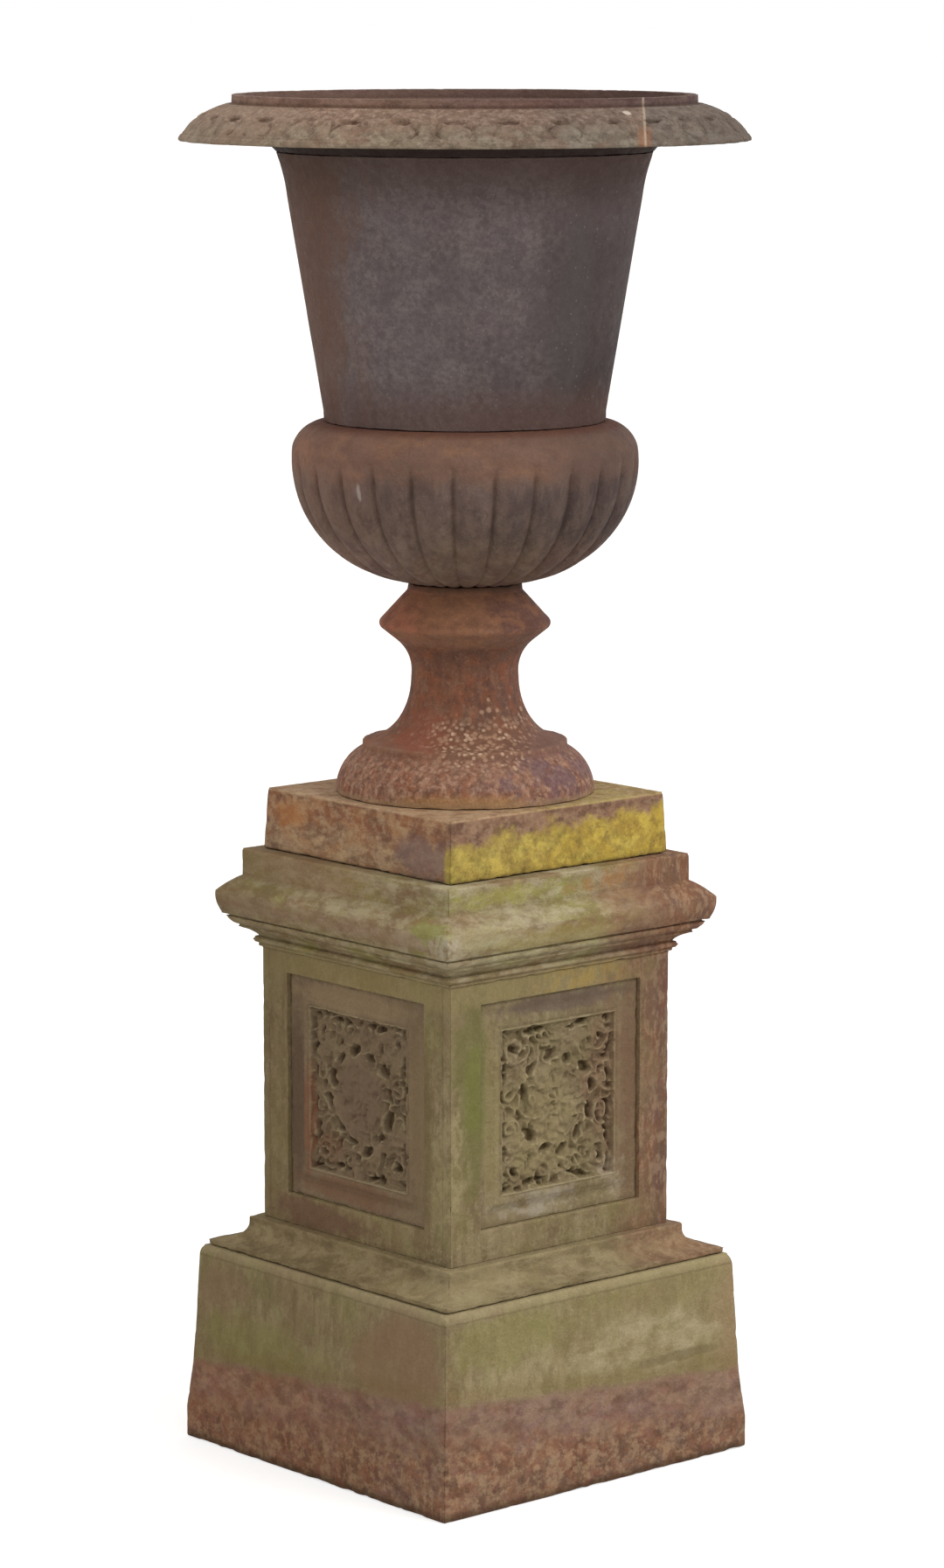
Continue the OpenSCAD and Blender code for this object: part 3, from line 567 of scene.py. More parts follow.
def add_node(tree, kind, inputs, **sets):
    """A shader node with these properties. Each input takes a constant or is linked to a socket."""
    n = tree.nodes.new("ShaderNode" + kind)
    for key, value in sets.items():
        setattr(n, key, value)
    for key, value in inputs.items():
        value = getattr(value, "socket", value)
        if isinstance(value, bpy.types.NodeSocket):
            tree.links.new(value, n.inputs[key])
        else:
            n.inputs[key].default_value = value
    return n


class Value:
    """A number that a material works out at each point of a surface."""

    def __init__(self, iron, socket):
        self.iron = iron
        self.socket = socket

    def __add__(self, other):
        return self.iron.new("Math", 0, {0: self, 1: other}, operation="ADD")

    def __sub__(self, other):
        return self.iron.new("Math", 0, {0: self, 1: other}, operation="SUBTRACT")

    def __mul__(self, other):
        return self.iron.new("Math", 0, {0: self, 1: other}, operation="MULTIPLY")

    def step(self, lo, hi, out_lo=0.0, out_hi=1.0):
        """Smooth step from out_lo at lo to out_hi at hi."""
        ends = {"Value": self, "From Min": lo, "From Max": hi, "To Min": out_lo, "To Max": out_hi}
        return self.iron.new("MapRange", "Result", ends, interpolation_type="SMOOTHSTEP")

    def window(self, lo, hi, soft):
        """1 between lo and hi, fading out over soft at both ends."""
        return self.step(lo - soft, lo + soft) * self.step(hi + soft, hi - soft)

    def shifted(self, size, amount):
        """The same made uneven by noise of that size (mm) and amount."""
        return self + (self.iron.noise(size, 5, 0.65) - 0.5) * amount


class Iron:
    """Builds a weathered iron material layer by layer. Coordinates are the object's own, in metres."""

    def __init__(self, name, seed, colour):
        self.mat = bpy.data.materials.new(name)
        self.mat.use_nodes = True
        self.tree = self.mat.node_tree
        self.tree.nodes.clear()
        self.seed = seed
        self.coord = self.new("TexCoord", "Object", {})
        self.colour = self.new("RGB", 0, {})
        self.colour.socket.default_value = linear(colour)

    def new(self, kind, output, inputs, **sets):
        """Adds a node and gives one of its outputs."""
        return Value(self, add_node(self.tree, kind, inputs, **sets).outputs[output])

    def place(self, scale):
        """The coordinates, scaled and each time moved elsewhere, so that no two patterns are alike."""
        self.seed += SEED_STEP
        away = (self.seed, self.seed * 1.3, self.seed * 0.7)
        return self.new("Mapping", 0, {"Vector": self.coord, "Location": away, "Scale": scale})

    def noise(self, size, detail, rough, stretch=(1, 1, 1)):
        """Noise 0..1 with features of that size in mm, longer along an axis where stretch is over 1."""
        place = self.place(tuple(1000.0 / (size * s) for s in stretch))
        inputs = {"Vector": place, "Scale": 1.0, "Detail": detail, "Roughness": rough}
        return self.new("TexNoise", 0, inputs)

    def axis(self, which):
        """One coordinate of a point."""
        return self.new("SeparateXYZ", which, {0: self.coord})

    def right(self):
        """How far to the right a point is as the camera sees it."""
        return self.axis(0) * SEEN_COS - self.axis(1) * SEEN_SIN

    def front(self):
        """How far to the front a point is as the camera sees it."""
        return (self.axis(0) * SEEN_SIN + self.axis(1) * SEEN_COS) * -1.0

    def reach(self):
        """How far a point is from the upright axis."""
        flat = self.new("CombineXYZ", 0, {0: self.axis(0), 1: self.axis(1)})
        return self.new("VectorMath", "Value", {0: flat}, operation="LENGTH")

    def attr(self, name):
        """A number kept with each point of the mesh."""
        return self.new("Attribute", "Fac", {}, attribute_name=name)

    def spot(self, centre, size, ragged, grain):
        """Mask of an oval patch, centre and half sizes in mm, with a ragged edge."""
        away = {0: self.coord, 1: tuple(c * MM for c in centre)}
        away = self.new("VectorMath", 0, away, operation="SUBTRACT")
        scaled = {0: away, 1: tuple(1.0 / (s * MM) for s in size)}
        scaled = self.new("VectorMath", 0, scaled, operation="MULTIPLY")
        length = self.new("VectorMath", "Value", {0: scaled}, operation="LENGTH")
        return (length + (self.noise(grain, 4, 0.6) - 0.5) * (ragged * 4)).step(1.15, 0.55)

    def dots(self, size, radius, share):
        """Round spots of that radius in cells of that size (both mm), in that share of the cells."""
        place = self.place((1000.0 / size,) * 3)
        cells = add_node(self.tree, "TexVoronoi", {"Vector": place, "Scale": 1.0})
        disk = Value(self, cells.outputs["Distance"]).step(radius / size * 1.25, radius / size * 0.6)
        pick = self.new("SeparateColor", 0, {0: cells.outputs["Color"]})
        return disk * pick.step(1 - share, 1 - share + 0.05)

    def blot(self, size, coverage, stretch=(1, 1, 1), sharp=0.075):
        """Ragged blots of that size in mm. coverage is the share of the surface that they take, about."""
        middle = 0.5 + 0.11 * (0.5 - coverage) * 2
        return self.noise(size, 5, 0.68, stretch).step(middle - sharp, middle + sharp)

    def lay(self, mask, colour, amount=1.0, mode="MIX"):
        """Lays a colour over what is there, where the mask says."""
        tint = linear(colour) if isinstance(colour, str) else colour
        mask = mask if amount == 1.0 else mask * amount
        sides = {0: mask, 6: self.colour, 7: tint}
        self.colour = self.new("Mix", 2, sides, data_type="RGBA", blend_type=mode)

    def tone(self, mask, red, green, blue, amount=1.0):
        """Darkens or lightens what is there, by a factor for each colour."""
        self.lay(mask, (red, green, blue, 1), amount, "MULTIPLY")

    def patch(self, centre, size, ragged, grain, colour, amount):
        """Lays a colour on an oval patch."""
        self.lay(self.spot(centre, size, ragged, grain), colour, amount)

    def mottle(self, zone, *patches):
        """Ragged blots: colour, size in mm, share of the zone, stretch across and up, amount."""
        for colour, size, share, across, up, amount in patches:
            blots = self.blot(size, share, (across, across, up), 0.085)
            self.lay(zone * blots if zone else blots, colour, amount)

    def finish(self, rough=0.84, bump=0.5, speck=1.0):
        """Adds fine specks, painted shade in the hollows and small bumps, and gives the material."""
        self.tone(self.noise(1.6, 2, 0.6).step(0.35, 0.7), 0.72, 0.72, 0.72, 0.55 * speck)
        self.tone(self.noise(2.6, 2, 0.6).step(0.56, 0.72), 1.35, 1.33, 1.3, 0.5 * speck)
        # painted shade: hollows and sunk carving are darkened by the attribute kept with each point
        self.tone(self.attr("hollow_shade").step(0.1, 0.95), 0.38, 0.31, 0.25, 0.9)
        roughness = self.noise(9, 3, 0.6).step(0.3, 0.7, rough - 0.1, min(rough + 0.1, 1.0))
        height = self.noise(2.0, 3, 0.65) * 0.5 + self.noise(7.0, 4, 0.6)
        normal = self.new("Bump", "Normal", {"Strength": bump, "Distance": BUMP_M, "Height": height})
        shader = self.new("BsdfPrincipled", 0, {
            "Base Color": self.colour, "Metallic": 0.0, "Specular IOR Level": 0.14,
            "Roughness": roughness, "Normal": normal,
        })
        add_node(self.tree, "OutputMaterial", {"Surface": shader})
        return self.mat


def weathered(name, tones, seed, large, grain=1.0, streak=1.0, worn=0.4):
    """The layers that every casting has, from five tones, dark to light."""
    dark, low, mid, high, light = tones.split()
    m = Iron(name, seed, mid)
    for size, detail, rough, up, lo, hi, colour, amount in (
        (large, 4, 0.6, 1, 0.42, 0.62, low, 0.85),
        (large * 0.6, 4, 0.6, 1, 0.46, 0.66, high, 0.8),
        (19.0, 5, 0.7, 1, 0.47, 0.64, low, 0.8 * grain),
        (12.0, 5, 0.7, 1, 0.48, 0.66, high, 0.8 * grain),
        (7.0, 4, 0.65, 6, 0.52, 0.68, light, 0.45 * streak),
        (8.0, 4, 0.65, 7, 0.52, 0.68, dark, 0.5 * streak),
        (6.5, 4, 0.7, 1, 0.52, 0.68, dark, 0.6 * grain),
        (4.5, 4, 0.7, 1, 0.53, 0.69, light, 0.6 * grain),
    ):
        m.lay(m.noise(size, detail, rough, (1, 1, up)).step(lo, hi), colour, amount)
    # worn edges lighter; on carving the crests also get a painted highlight
    m.lay(m.attr("edge").step(0.25, 0.9), light, worn)
    return m


# materials of the castings
def base_material():
    """The plinth: brown, with mud splashed up from the ground."""
    m = weathered("base_iron", "#63533b #776749 #85775a #928466 #a99a7a", 3.0, 60.0, 0.8, 0.8)
    x, y, z = m.axis(0), m.axis(1), m.axis(2)
    side = x - y
    m.mottle(
        None,
        ("#7f7b4c", 50, 0.45, 1.6, 1, 0.45), ("#7d6650", 38, 0.38, 1.2, 1.2, 0.45),
        ("#998c6a", 15, 0.4, 1, 2.5, 0.4), ("#6c5b42", 13, 0.38, 1, 2.5, 0.4),
    )
    m.lay(side.shifted(60, 0.1).step(0.0, 0.2), "#908556", 0.3)
    # left face: brown at both ends above the mud, green low between them
    m.patch((-164, -100, 112), (30, 60, 50), 0.35, 30, "#846851", 0.7)
    m.patch((-164, 125, 135), (30, 40, 26), 0.4, 20, "#846b55", 0.5)
    m.patch((-164, 70, 96), (30, 90, 24), 0.4, 24, "#7f7b48", 0.45)
    # right face: green above and strokes below at its left, a pale patch and a dark line at its right
    m.patch((-95, -164, 135), (66, 30, 26), 0.4, 20, "#85804c", 0.45)
    m.lay(m.spot((-90, -164, 92), (76, 30, 28), 0.4, 16) * m.blot(8, 0.5, (1, 1, 3)), "#a2926f", 0.5)
    pale = m.spot((66, -164, 108), (100, 30, 26), 0.4, 24) * m.blot(12, 0.6, (2, 2, 1), 0.16)
    m.lay(pale, "#afa283", 0.62)
    m.patch((92, -164, 90), (56, 30, 5), 0.35, 10, "#6b5f42", 0.6)
    m.lay(y.step(-0.15, -0.158) * x.shifted(40, 0.08).step(0.115, 0.17), "#92775c", 0.6)
    mud_layers(m, x, y, z, side)
    m.lay(z.shifted(12, 0.008).step(0.010, 0.002), "#41301f", 0.7)
    m.lay(z.step(0.152, 0.165), "#a19473", 0.4)
    m.lay(z.shifted(20, 0.003).window(0.1564, 0.1580, 0.0008), "#5f5238", 0.4)
    # painted shade: the left face darker, turned away from the light
    m.tone(side.step(0.1, -0.2), 0.86, 0.83, 0.79)
    return m.finish(0.86, 0.6, speck=0.7)


def mud_layers(m, x, y, z, side):
    """Mud splashed up from the ground, higher towards the front corner."""
    level = z + (x + y) * 0.075
    level = level.shifted(60, 0.016).shifted(8, 0.012)
    band = level.step(0.072, 0.060)
    m.lay(level.window(0.070, 0.080, 0.008), "#77633f", 0.45)
    m.lay(band, "#7c6050", 0.9)
    m.lay(band * side.shifted(50, 0.06).step(-0.02, -0.16), "#7f5544", 0.5)
    m.lay(band * side.shifted(50, 0.06).step(0.02, 0.16), "#8d7262", 0.55)
    m.mottle(
        band * level.step(0.036, 0.052),
        ("#8c6d63", 26, 0.5, 2.2, 1, 0.5), ("#957b68", 10, 0.4, 1.8, 1, 0.4),
    )
    m.mottle(
        band,
        ("#836867", 36, 0.45, 2, 1, 0.45), ("#7f5342", 24, 0.42, 1.6, 1, 0.5),
        ("#5c4638", 15, 0.4, 1.6, 1, 0.5), ("#977f68", 12, 0.4, 1.5, 1, 0.5),
        ("#55412f", 7, 0.28, 1.2, 1, 0.3),
    )
    m.tone(band * side.step(-0.06, -0.2), 1.16, 1.12, 1.06)
    m.tone(level.step(0.040, 0.020) * side.step(0.05, 0.2), 0.84, 0.84, 0.85)
    m.mottle(
        level.step(0.050, 0.016),
        ("#7b4b39", 22, 0.5, 1.4, 1, 0.55), ("#8d6549", 13, 0.42, 1.2, 1, 0.5),
        ("#513c2e", 9, 0.4, 1.2, 1.2, 0.5), ("#a68a6c", 6.5, 0.34, 1.1, 1, 0.55),
    )


def pedestal_material():
    """The cap, the die panels and the base moulding: olive brown, with green, grey and rusty places."""
    m = weathered("pedestal_iron", "#594b33 #6e5f44 #7e6f52 #8b7c5d #a39577", 17.0, 55.0, 0.9, 0.8, 0.2)
    x, y, z = m.axis(0), m.axis(1), m.axis(2)
    side = x - y
    m.mottle(
        None,
        ("#7c7647", 45, 0.5, 1, 1, 0.4), ("#76614a", 30, 0.4, 1, 1.6, 0.4),
        ("#958768", 14, 0.38, 1, 2.2, 0.35),
    )
    far = cap_layers(m, x, y, z, side)
    rail_layers(m, x, y, z)
    die_layers(m, y, far)
    corner_layers(m)
    foot_layers(m, x, z)
    # painted shade: the left faces darker, turned away from the light
    m.tone(side.step(0.04, -0.10), 0.92, 0.885, 0.84)
    m.tone(x.step(0.099, 0.107) * (z.step(0.188, 0.192) * z.step(0.420, 0.414)), 0.88, 0.90, 0.97)
    return m.finish(0.87, 0.55, speck=0.7)


def cap_layers(m, x, y, z, side):
    """Long soft blots on the cap, whose right face turns to rust. Gives how far along that a point is."""
    cap = z.step(0.414, 0.426)
    m.lay(cap, "#918460", 0.65)
    m.mottle(
        cap,
        ("#878445", 26, 0.44, 3, 1, 0.7), ("#83634c", 20, 0.42, 3, 1, 0.55),
        ("#ada385", 16, 0.4, 3.2, 1, 0.55), ("#6a543e", 11, 0.38, 2.4, 1, 0.45),
        ("#b3a98e", 7, 0.32, 2, 1, 0.4),
    )
    left = side.step(0.0, -0.04)
    m.lay(left * z.shifted(14, 0.012).window(0.450, 0.464, 0.006), "#87695a", 0.5)
    m.lay(left * (z.step(0.474, 0.480) * y.shifted(30, 0.05).step(-0.06, 0.0)), "#8f7256", 0.5)
    # the right face turns from yellow green to rust
    right = cap * side.step(0.02, 0.06)
    far = x.shifted(40, 0.14)
    m.patch((-70, -150, 489), (56, 40, 11), 0.5, 12, "#96914c", 0.6)
    m.patch((-20, -150, 452), (90, 30, 10), 0.5, 12, "#8f8148", 0.5)
    m.lay(right * far.step(-0.01, 0.11), "#7e5d4a", 0.75)
    m.mottle(
        right * far.step(0.0, 0.08),
        ("#966c45", 18, 0.42, 2, 1, 0.5), ("#6a4c44", 15, 0.42, 2, 1, 0.5),
        ("#a88d70", 8, 0.36, 1.4, 1, 0.5),
    )
    m.lay(m.spot((50, -150, 489), (76, 40, 11), 0.5, 12) * m.blot(12, 0.6), "#9a6d3e", 0.5)
    return far


def rail_layers(m, x, y, z):
    """The rails under the cap, lightened as painted light where the cap shades them, with orange strokes
    on the right face.
    """
    rail = z.step(0.392, 0.404) * z.step(0.426, 0.414)
    # painted light: the rails are lightened where the cap shades them
    m.lay(rail, "#8f8157", 0.5)
    front_face = y.step(-0.112, -0.118)
    stroke = rail * front_face * x.shifted(30, 0.04).window(-0.02, 0.07, 0.02)
    m.lay(stroke * m.blot(10, 0.5, (1, 1, 2.5), 0.09), "#a3884a", 0.55)


def die_layers(m, y, far):
    """Rust at the far end of the right panel, green by the front corner, light strokes, brown rails."""
    m.lay(far.step(0.03, 0.12), "#6c4f3d", 0.85)
    m.mottle(
        far.step(0.04, 0.12),
        ("#83543c", 14, 0.45, 1, 2.4, 0.5), ("#6a504a", 20, 0.4, 1, 2, 0.4),
        ("#a68a6d", 5.5, 0.34, 1, 2, 0.5),
    )
    m.lay(y.shifted(40, 0.16).step(0.0, 0.14), "#6f6047", 0.4)
    m.patch((-92, -119, 325), (28, 24, 95), 0.4, 20, "#67653a", 0.65)
    m.patch((-92, -119, 332), (14, 20, 46), 0.4, 16, "#6b7034", 0.45)
    strokes = m.spot((-119, -112, 280), (24, 24, 66), 0.35, 14) * m.blot(8, 0.5, (1, 1, 1.6), 0.09)
    m.lay(strokes, "#a99b77", 0.4)
    m.patch((-119, -84, 290), (20, 14, 100), 0.3, 18, "#67573c", 0.55)
    m.patch((-119, 44, 203), (20, 66, 15), 0.4, 14, "#6b5041", 0.8)


def corner_layers(m):
    """Green and pale places at the front corner of the cap."""
    m.patch((-150, -122, 470), (16, 28, 13), 0.5, 12, "#858a4a", 0.6)
    m.patch((-112, -150, 462), (32, 20, 16), 0.5, 12, "#a89e7e", 0.45)
    m.lay(m.spot((-148, -148, 455), (20, 20, 16), 0.4, 12) * m.blot(9, 0.6, (1, 1, 2)), "#b3ac98", 0.6)


def foot_layers(m, x, z):
    """The base moulding: light places at the front corner, and rust at the right end."""
    foot = z.step(0.192, 0.188)
    m.lay(foot, "#837456", 0.5)
    m.mottle(foot, ("#65553d", 14, 0.46, 2.4, 1, 0.6), ("#9c8f6f", 10, 0.36, 2, 1, 0.45))
    m.lay(foot * m.spot((-130, -150, 178), (70, 60, 16), 0.5, 16), "#948866", 0.35)
    m.lay(foot * x.shifted(60, 0.12).step(0.02, 0.14), "#87684f", 0.65)
    m.mottle(
        foot * x.step(0.03, 0.10),
        ("#a08468", 6, 0.4, 1.4, 1, 0.5), ("#6b4a3a", 9, 0.36, 1.4, 1, 0.5),
    )


def plaque_material():
    """The plaques: dull olive, with rusty and pale places low down."""
    m = weathered("plaque_iron", "#5a4a35 #6d5d45 #7d6e53 #8a7b60 #a39576", 31.0, 45.0, 0.7, 0.4)
    x, y, z = m.axis(0), m.axis(1), m.axis(2)
    m.lay(m.blot(30, 0.4, (1, 1, 1), 0.1), "#7d7550", 0.35)
    # left plaque: browner, painted shade on the hollow border at its far end, a painted highlight on its
    # near border, a rusty streak beside it, brown foot
    m.lay(x.step(-0.100, -0.106), "#766453", 0.5)
    m.patch((-116, 0, 308), (20, 36, 38), 0.3, 14, "#6e594c", 0.5)
    # painted highlight on the near border
    m.patch((-116, -75, 305), (20, 13, 84), 0.3, 14, "#877458", 0.5)
    m.patch((-116, 8, 387), (20, 84, 13), 0.35, 14, "#948063", 0.6)
    # painted shade in the hollow of the far border
    m.patch((-116, 78, 293), (20, 12, 80), 0.25, 14, "#5b4b3e", 0.75)
    m.patch((-116, 63, 283), (20, 7, 52), 0.35, 10, "#83553f", 0.6)
    m.patch((-116, 38, 262), (20, 18, 14), 0.5, 12, "#7a5541", 0.4)
    m.patch((-116, 14, 229), (20, 78, 12), 0.4, 16, "#755743", 0.7)
    # right plaque: painted shadow under the top joint, a painted highlight on its near border, redder to
    # the right, pale below
    # painted shadow under the top joint
    m.patch((12, -116, 391), (80, 20, 9), 0.35, 10, "#64554c", 0.75)
    # painted highlight on the near border
    m.patch((-72, -116, 312), (10, 20, 84), 0.3, 14, "#93875a", 0.4)
    m.patch((-88, -116, 330), (16, 20, 66), 0.4, 16, "#6d6e3c", 0.55)
    m.patch((62, -116, 322), (34, 20, 80), 0.5, 20, "#775b49", 0.55)
    m.lay(x.shifted(20, 0.02).step(0.064, 0.078), "#6f5443", 0.5)
    pale = m.blot(12, 0.62, (1.6, 1, 1), 0.1)
    m.lay(m.spot((-22, -116, 229), (52, 20, 12), 0.45, 14) * pale, "#9f9585", 0.6)
    m.lay(m.spot((60, -116, 239), (18, 20, 15), 0.45, 12) * pale, "#a89b88", 0.6)
    m.patch((-20, -116, 290), (44, 20, 50), 0.5, 18, "#938660", 0.35)
    # painted shade: the left plaque darker, turned away from the light
    m.tone((x - y).step(0.06, -0.06), 0.90, 0.86, 0.83)
    # painted highlight on the crests of the carving, with lighter worn edges
    m.lay(m.attr("edge").step(0.15, 0.7), "#9d9070", 0.35)
    return m.finish(0.87, 0.6, speck=0.6)


def block_material():
    """The foot block: red brown, with yellow lichen on the right face."""
    m = weathered("block_iron", "#5f4535 #775843 #86674f #94765c #aa8c6e", 43.0, 40.0, 0.8, 0.5)
    x, y, z = m.axis(0), m.axis(1), m.axis(2)
    # left face: red brown above, tan below, a grey place towards the corner
    left = x.step(-0.108, -0.114)
    tall = z.shifted(26, 0.03)
    m.lay(left * tall.step(0.518, 0.536), "#82543d", 0.7)
    m.lay(left * tall.step(0.526, 0.510), "#9c8367", 0.65)
    m.mottle(
        left,
        ("#b5946d", 14, 0.42, 2.2, 1, 0.6), ("#5a3f35", 16, 0.42, 1.8, 1, 0.6),
        ("#8d5b3b", 11, 0.38, 1.6, 1, 0.5), ("#b79c7a", 6, 0.34, 1.4, 1, 0.4),
    )
    m.patch((-118, -84, 518), (12, 40, 18), 0.4, 14, "#76605a", 0.65)
    m.patch((-118, 82, 532), (12, 26, 12), 0.5, 12, "#a06a3d", 0.55)
    # right face: lichen along the bottom, brightest and highest at its far end
    right = y.step(-0.108, -0.114)
    m.lay(right, "#80604e", 0.6)
    m.mottle(right, ("#573d33", 12, 0.45, 1.6, 1, 0.65), ("#a08369", 8, 0.38, 1.2, 1, 0.5))
    climb = z - x * 0.05
    climb = climb.shifted(26, 0.045).shifted(7, 0.012)
    lichen = right * climb.step(0.541, 0.525)
    m.lay(lichen, "#b19b4c", 0.9)
    m.lay(lichen * x.shifted(26, 0.06).step(-0.04, 0.02), "#b3973f", 0.8)
    m.mottle(
        lichen,
        ("#8f8a48", 18, 0.4, 1.4, 1, 0.45), ("#c6ae58", 11, 0.4, 1.2, 1, 0.5),
        ("#7d6338", 13, 0.38, 1.2, 1.2, 0.5), ("#5f4c2c", 7, 0.3, 1, 1, 0.4),
    )
    top = z.step(0.5480, 0.5500)
    m.lay(top, "#ab8c6d", 0.8)
    m.lay(top * (x - y).shifted(30, 0.1).step(0.05, 0.14), "#9a8c4c", 0.7)
    m.mottle(top, ("#7d5a40", 14, 0.42, 1, 1, 0.6), ("#b39c7e", 7, 0.36, 1, 1, 0.5))
    # painted shadow along the foot of the block where it sits on the cap
    m.lay(z.step(0.504, 0.5), "#3f2e26", 0.6)
    return m.finish(0.87, 0.55, speck=0.7)


def stem_material():
    """Stem and bell foot: orange rust, with a crust of cream spots on the bell."""
    m = weathered("stem_iron", "#50372c #65463a #734f3e #825d49 #97755f", 57.0, 40.0, 0.8, 0.6)
    z = m.axis(2)
    side = m.right().shifted(30, 0.04)
    bell = z.shifted(30, 0.03).step(0.612, 0.580)
    m.lay(bell, "#85604d", 0.7)
    m.lay(side.step(0.015, 0.06), "#6d5049", 0.6)
    m.lay(side.step(0.02, -0.04) * m.blot(16, 0.5, (1, 1, 2), 0.09), "#86533a", 0.5)
    # knop: red at the left, orange brown in the middle, purple at the right, lighter along its edge
    knop = z.step(0.672, 0.676)
    m.lay(knop * side.window(-0.05, 0.02, 0.012), "#8a6148", 0.6)
    m.lay(knop * side.step(-0.02, -0.055), "#9a5f49", 0.75)
    m.lay(knop * side.step(0.02, 0.05), "#5e3f38", 0.65)
    m.lay(z.shifted(14, 0.006).window(0.6735, 0.6860, 0.002), "#8a6a58", 0.5)
    m.mottle(knop, ("#5c3f34", 12, 0.4, 1.6, 1, 0.45), ("#96684a", 10, 0.36, 1.6, 1, 0.4))
    # waist: dark, with orange marks at the left
    waist = z.window(0.606, 0.672, 0.006)
    m.mottle(
        waist,
        ("#54392f", 14, 0.42, 1, 1.6, 0.5), ("#8c4f33", 9, 0.3, 1, 1.4, 0.4),
        ("#564940", 18, 0.35, 1, 2, 0.35),
    )
    m.patch((-58, -16, 602), (24, 30, 34), 0.4, 16, "#874d3b", 0.6)
    # bell: patches of rust, tan and mauve, and a crust of cream spots on the slope above it
    low = z.shifted(14, 0.012).step(0.594, 0.580)
    m.mottle(
        low,
        ("#654539", 12, 0.45, 1, 1.4, 0.5), ("#a77f6a", 8, 0.42, 1, 1.8, 0.55),
        ("#8a5238", 11, 0.38, 1, 1.2, 0.45), ("#b99b83", 4.5, 0.32, 1, 1, 0.45),
        ("#4f362d", 5.5, 0.34, 1, 1, 0.5),
    )
    m.lay(side.step(0.0, 0.03) * (low * m.blot(22, 0.55)), "#614b54", 0.6)
    zone = z.shifted(16, 0.02).window(0.578, 0.612, 0.012) * side.window(-0.025, 0.050, 0.015)
    m.lay(zone, "#694939", 0.4)
    m.lay(zone * m.dots(4.8, 2.2, 0.85), "#a9866c", 0.65)
    m.lay(zone * m.dots(4.2, 1.7, 0.4), "#c4a68c", 0.7)
    m.lay(z.step(0.640, 0.600) * m.dots(7.0, 2.2, 0.3), "#a2826a", 0.45)
    freckles = z.window(0.610, 0.635, 0.006) * m.dots(6.0, 2.4, 0.5)
    m.lay(side.step(-0.01, 0.02) * freckles, "#b3937a", 0.6)
    m.lay(z.step(0.566, 0.556) * m.spot((-70, -80, 553), (60, 50, 14), 0.4, 12), "#9b7544", 0.55)
    m.lay(z.shifted(10, 0.003).step(0.5570, 0.5535), "#9a7f60", 0.5)
    # painted shade at the neck under the bowl
    m.lay(z.step(0.7135, 0.7205), "#3c2b22", 0.65)
    return m.finish(0.84, 0.5, speck=0.8)


def bowl_material():
    """The bowl: grey brown lobes under a red brown shoulder."""
    m = weathered("bowl_iron", "#493a32 #594841 #67554c #705f55 #807067", 71.0, 40.0, 0.6, 0.8)
    z = m.axis(2)
    side = m.right().shifted(40, 0.05)
    # lobes: grey purple above, olive brown below, browner at the left and darker at the right
    m.lay(z.shifted(30, 0.03).step(0.770, 0.805), "#604e4b", 0.45)
    m.lay(z.step(0.790, 0.750) * side.step(-0.07, -0.02), "#655542", 0.45)
    m.lay(side.step(-0.05, -0.12), "#7c6052", 0.6)
    m.lay(side.step(0.04, 0.10), "#4b3c39", 0.72)
    m.mottle(None, ("#50403c", 18, 0.42, 1, 2.6, 0.45), ("#7c6759", 13, 0.38, 1, 3, 0.4))
    m.lay(z.step(0.770, 0.735) * m.blot(14, 0.45, (1, 1, 2)), "#54382d", 0.4)
    # the plain shoulder is red brown, and runs down in ragged teeth
    teeth = z.shifted(10, 0.024).shifted(30, 0.026)
    top = teeth.step(0.806, 0.830)
    m.lay(top, "#7a5b4b", 0.85)
    m.mottle(
        top,
        ("#87634c", 24, 0.42, 1.6, 1, 0.45), ("#655049", 22, 0.4, 1.6, 1, 0.45),
        ("#5d443a", 9, 0.34, 1.3, 1, 0.35),
    )
    m.lay(side.step(0.03, 0.09) * top, "#5f4a42", 0.5)
    # painted shade right of the middle, in the upper lobes and on the shoulder
    m.tone(side.step(0.0, 0.04) * z.window(0.762, 0.812, 0.012), 0.78, 0.80, 0.84)
    m.tone(side.step(0.05, 0.12) * z.step(0.800, 0.820), 0.80, 0.84, 0.88)
    m.tone(z.step(0.775, 0.745), 1.16, 1.13, 1.13)
    # painted light at the left, low on the lobes and on the shoulder
    m.tone(side.step(0.02, -0.06) * z.step(0.775, 0.750), 1.16, 1.20, 1.22)
    m.tone(side.step(-0.05, -0.09) * z.step(0.800, 0.820), 1.15, 1.12, 1.12)
    m.patch((-135, -29, 805), (8, 2.0, 8), 0.15, 5, "#a0948c", 0.75)
    m.patch((-70, -122, 770), (5, 3, 3), 0.15, 5, "#8f8078", 0.6)
    m.lay(z.step(0.8465, 0.8525), "#5c3529", 0.6)
    return m.finish(0.84, 0.5, speck=0.6)


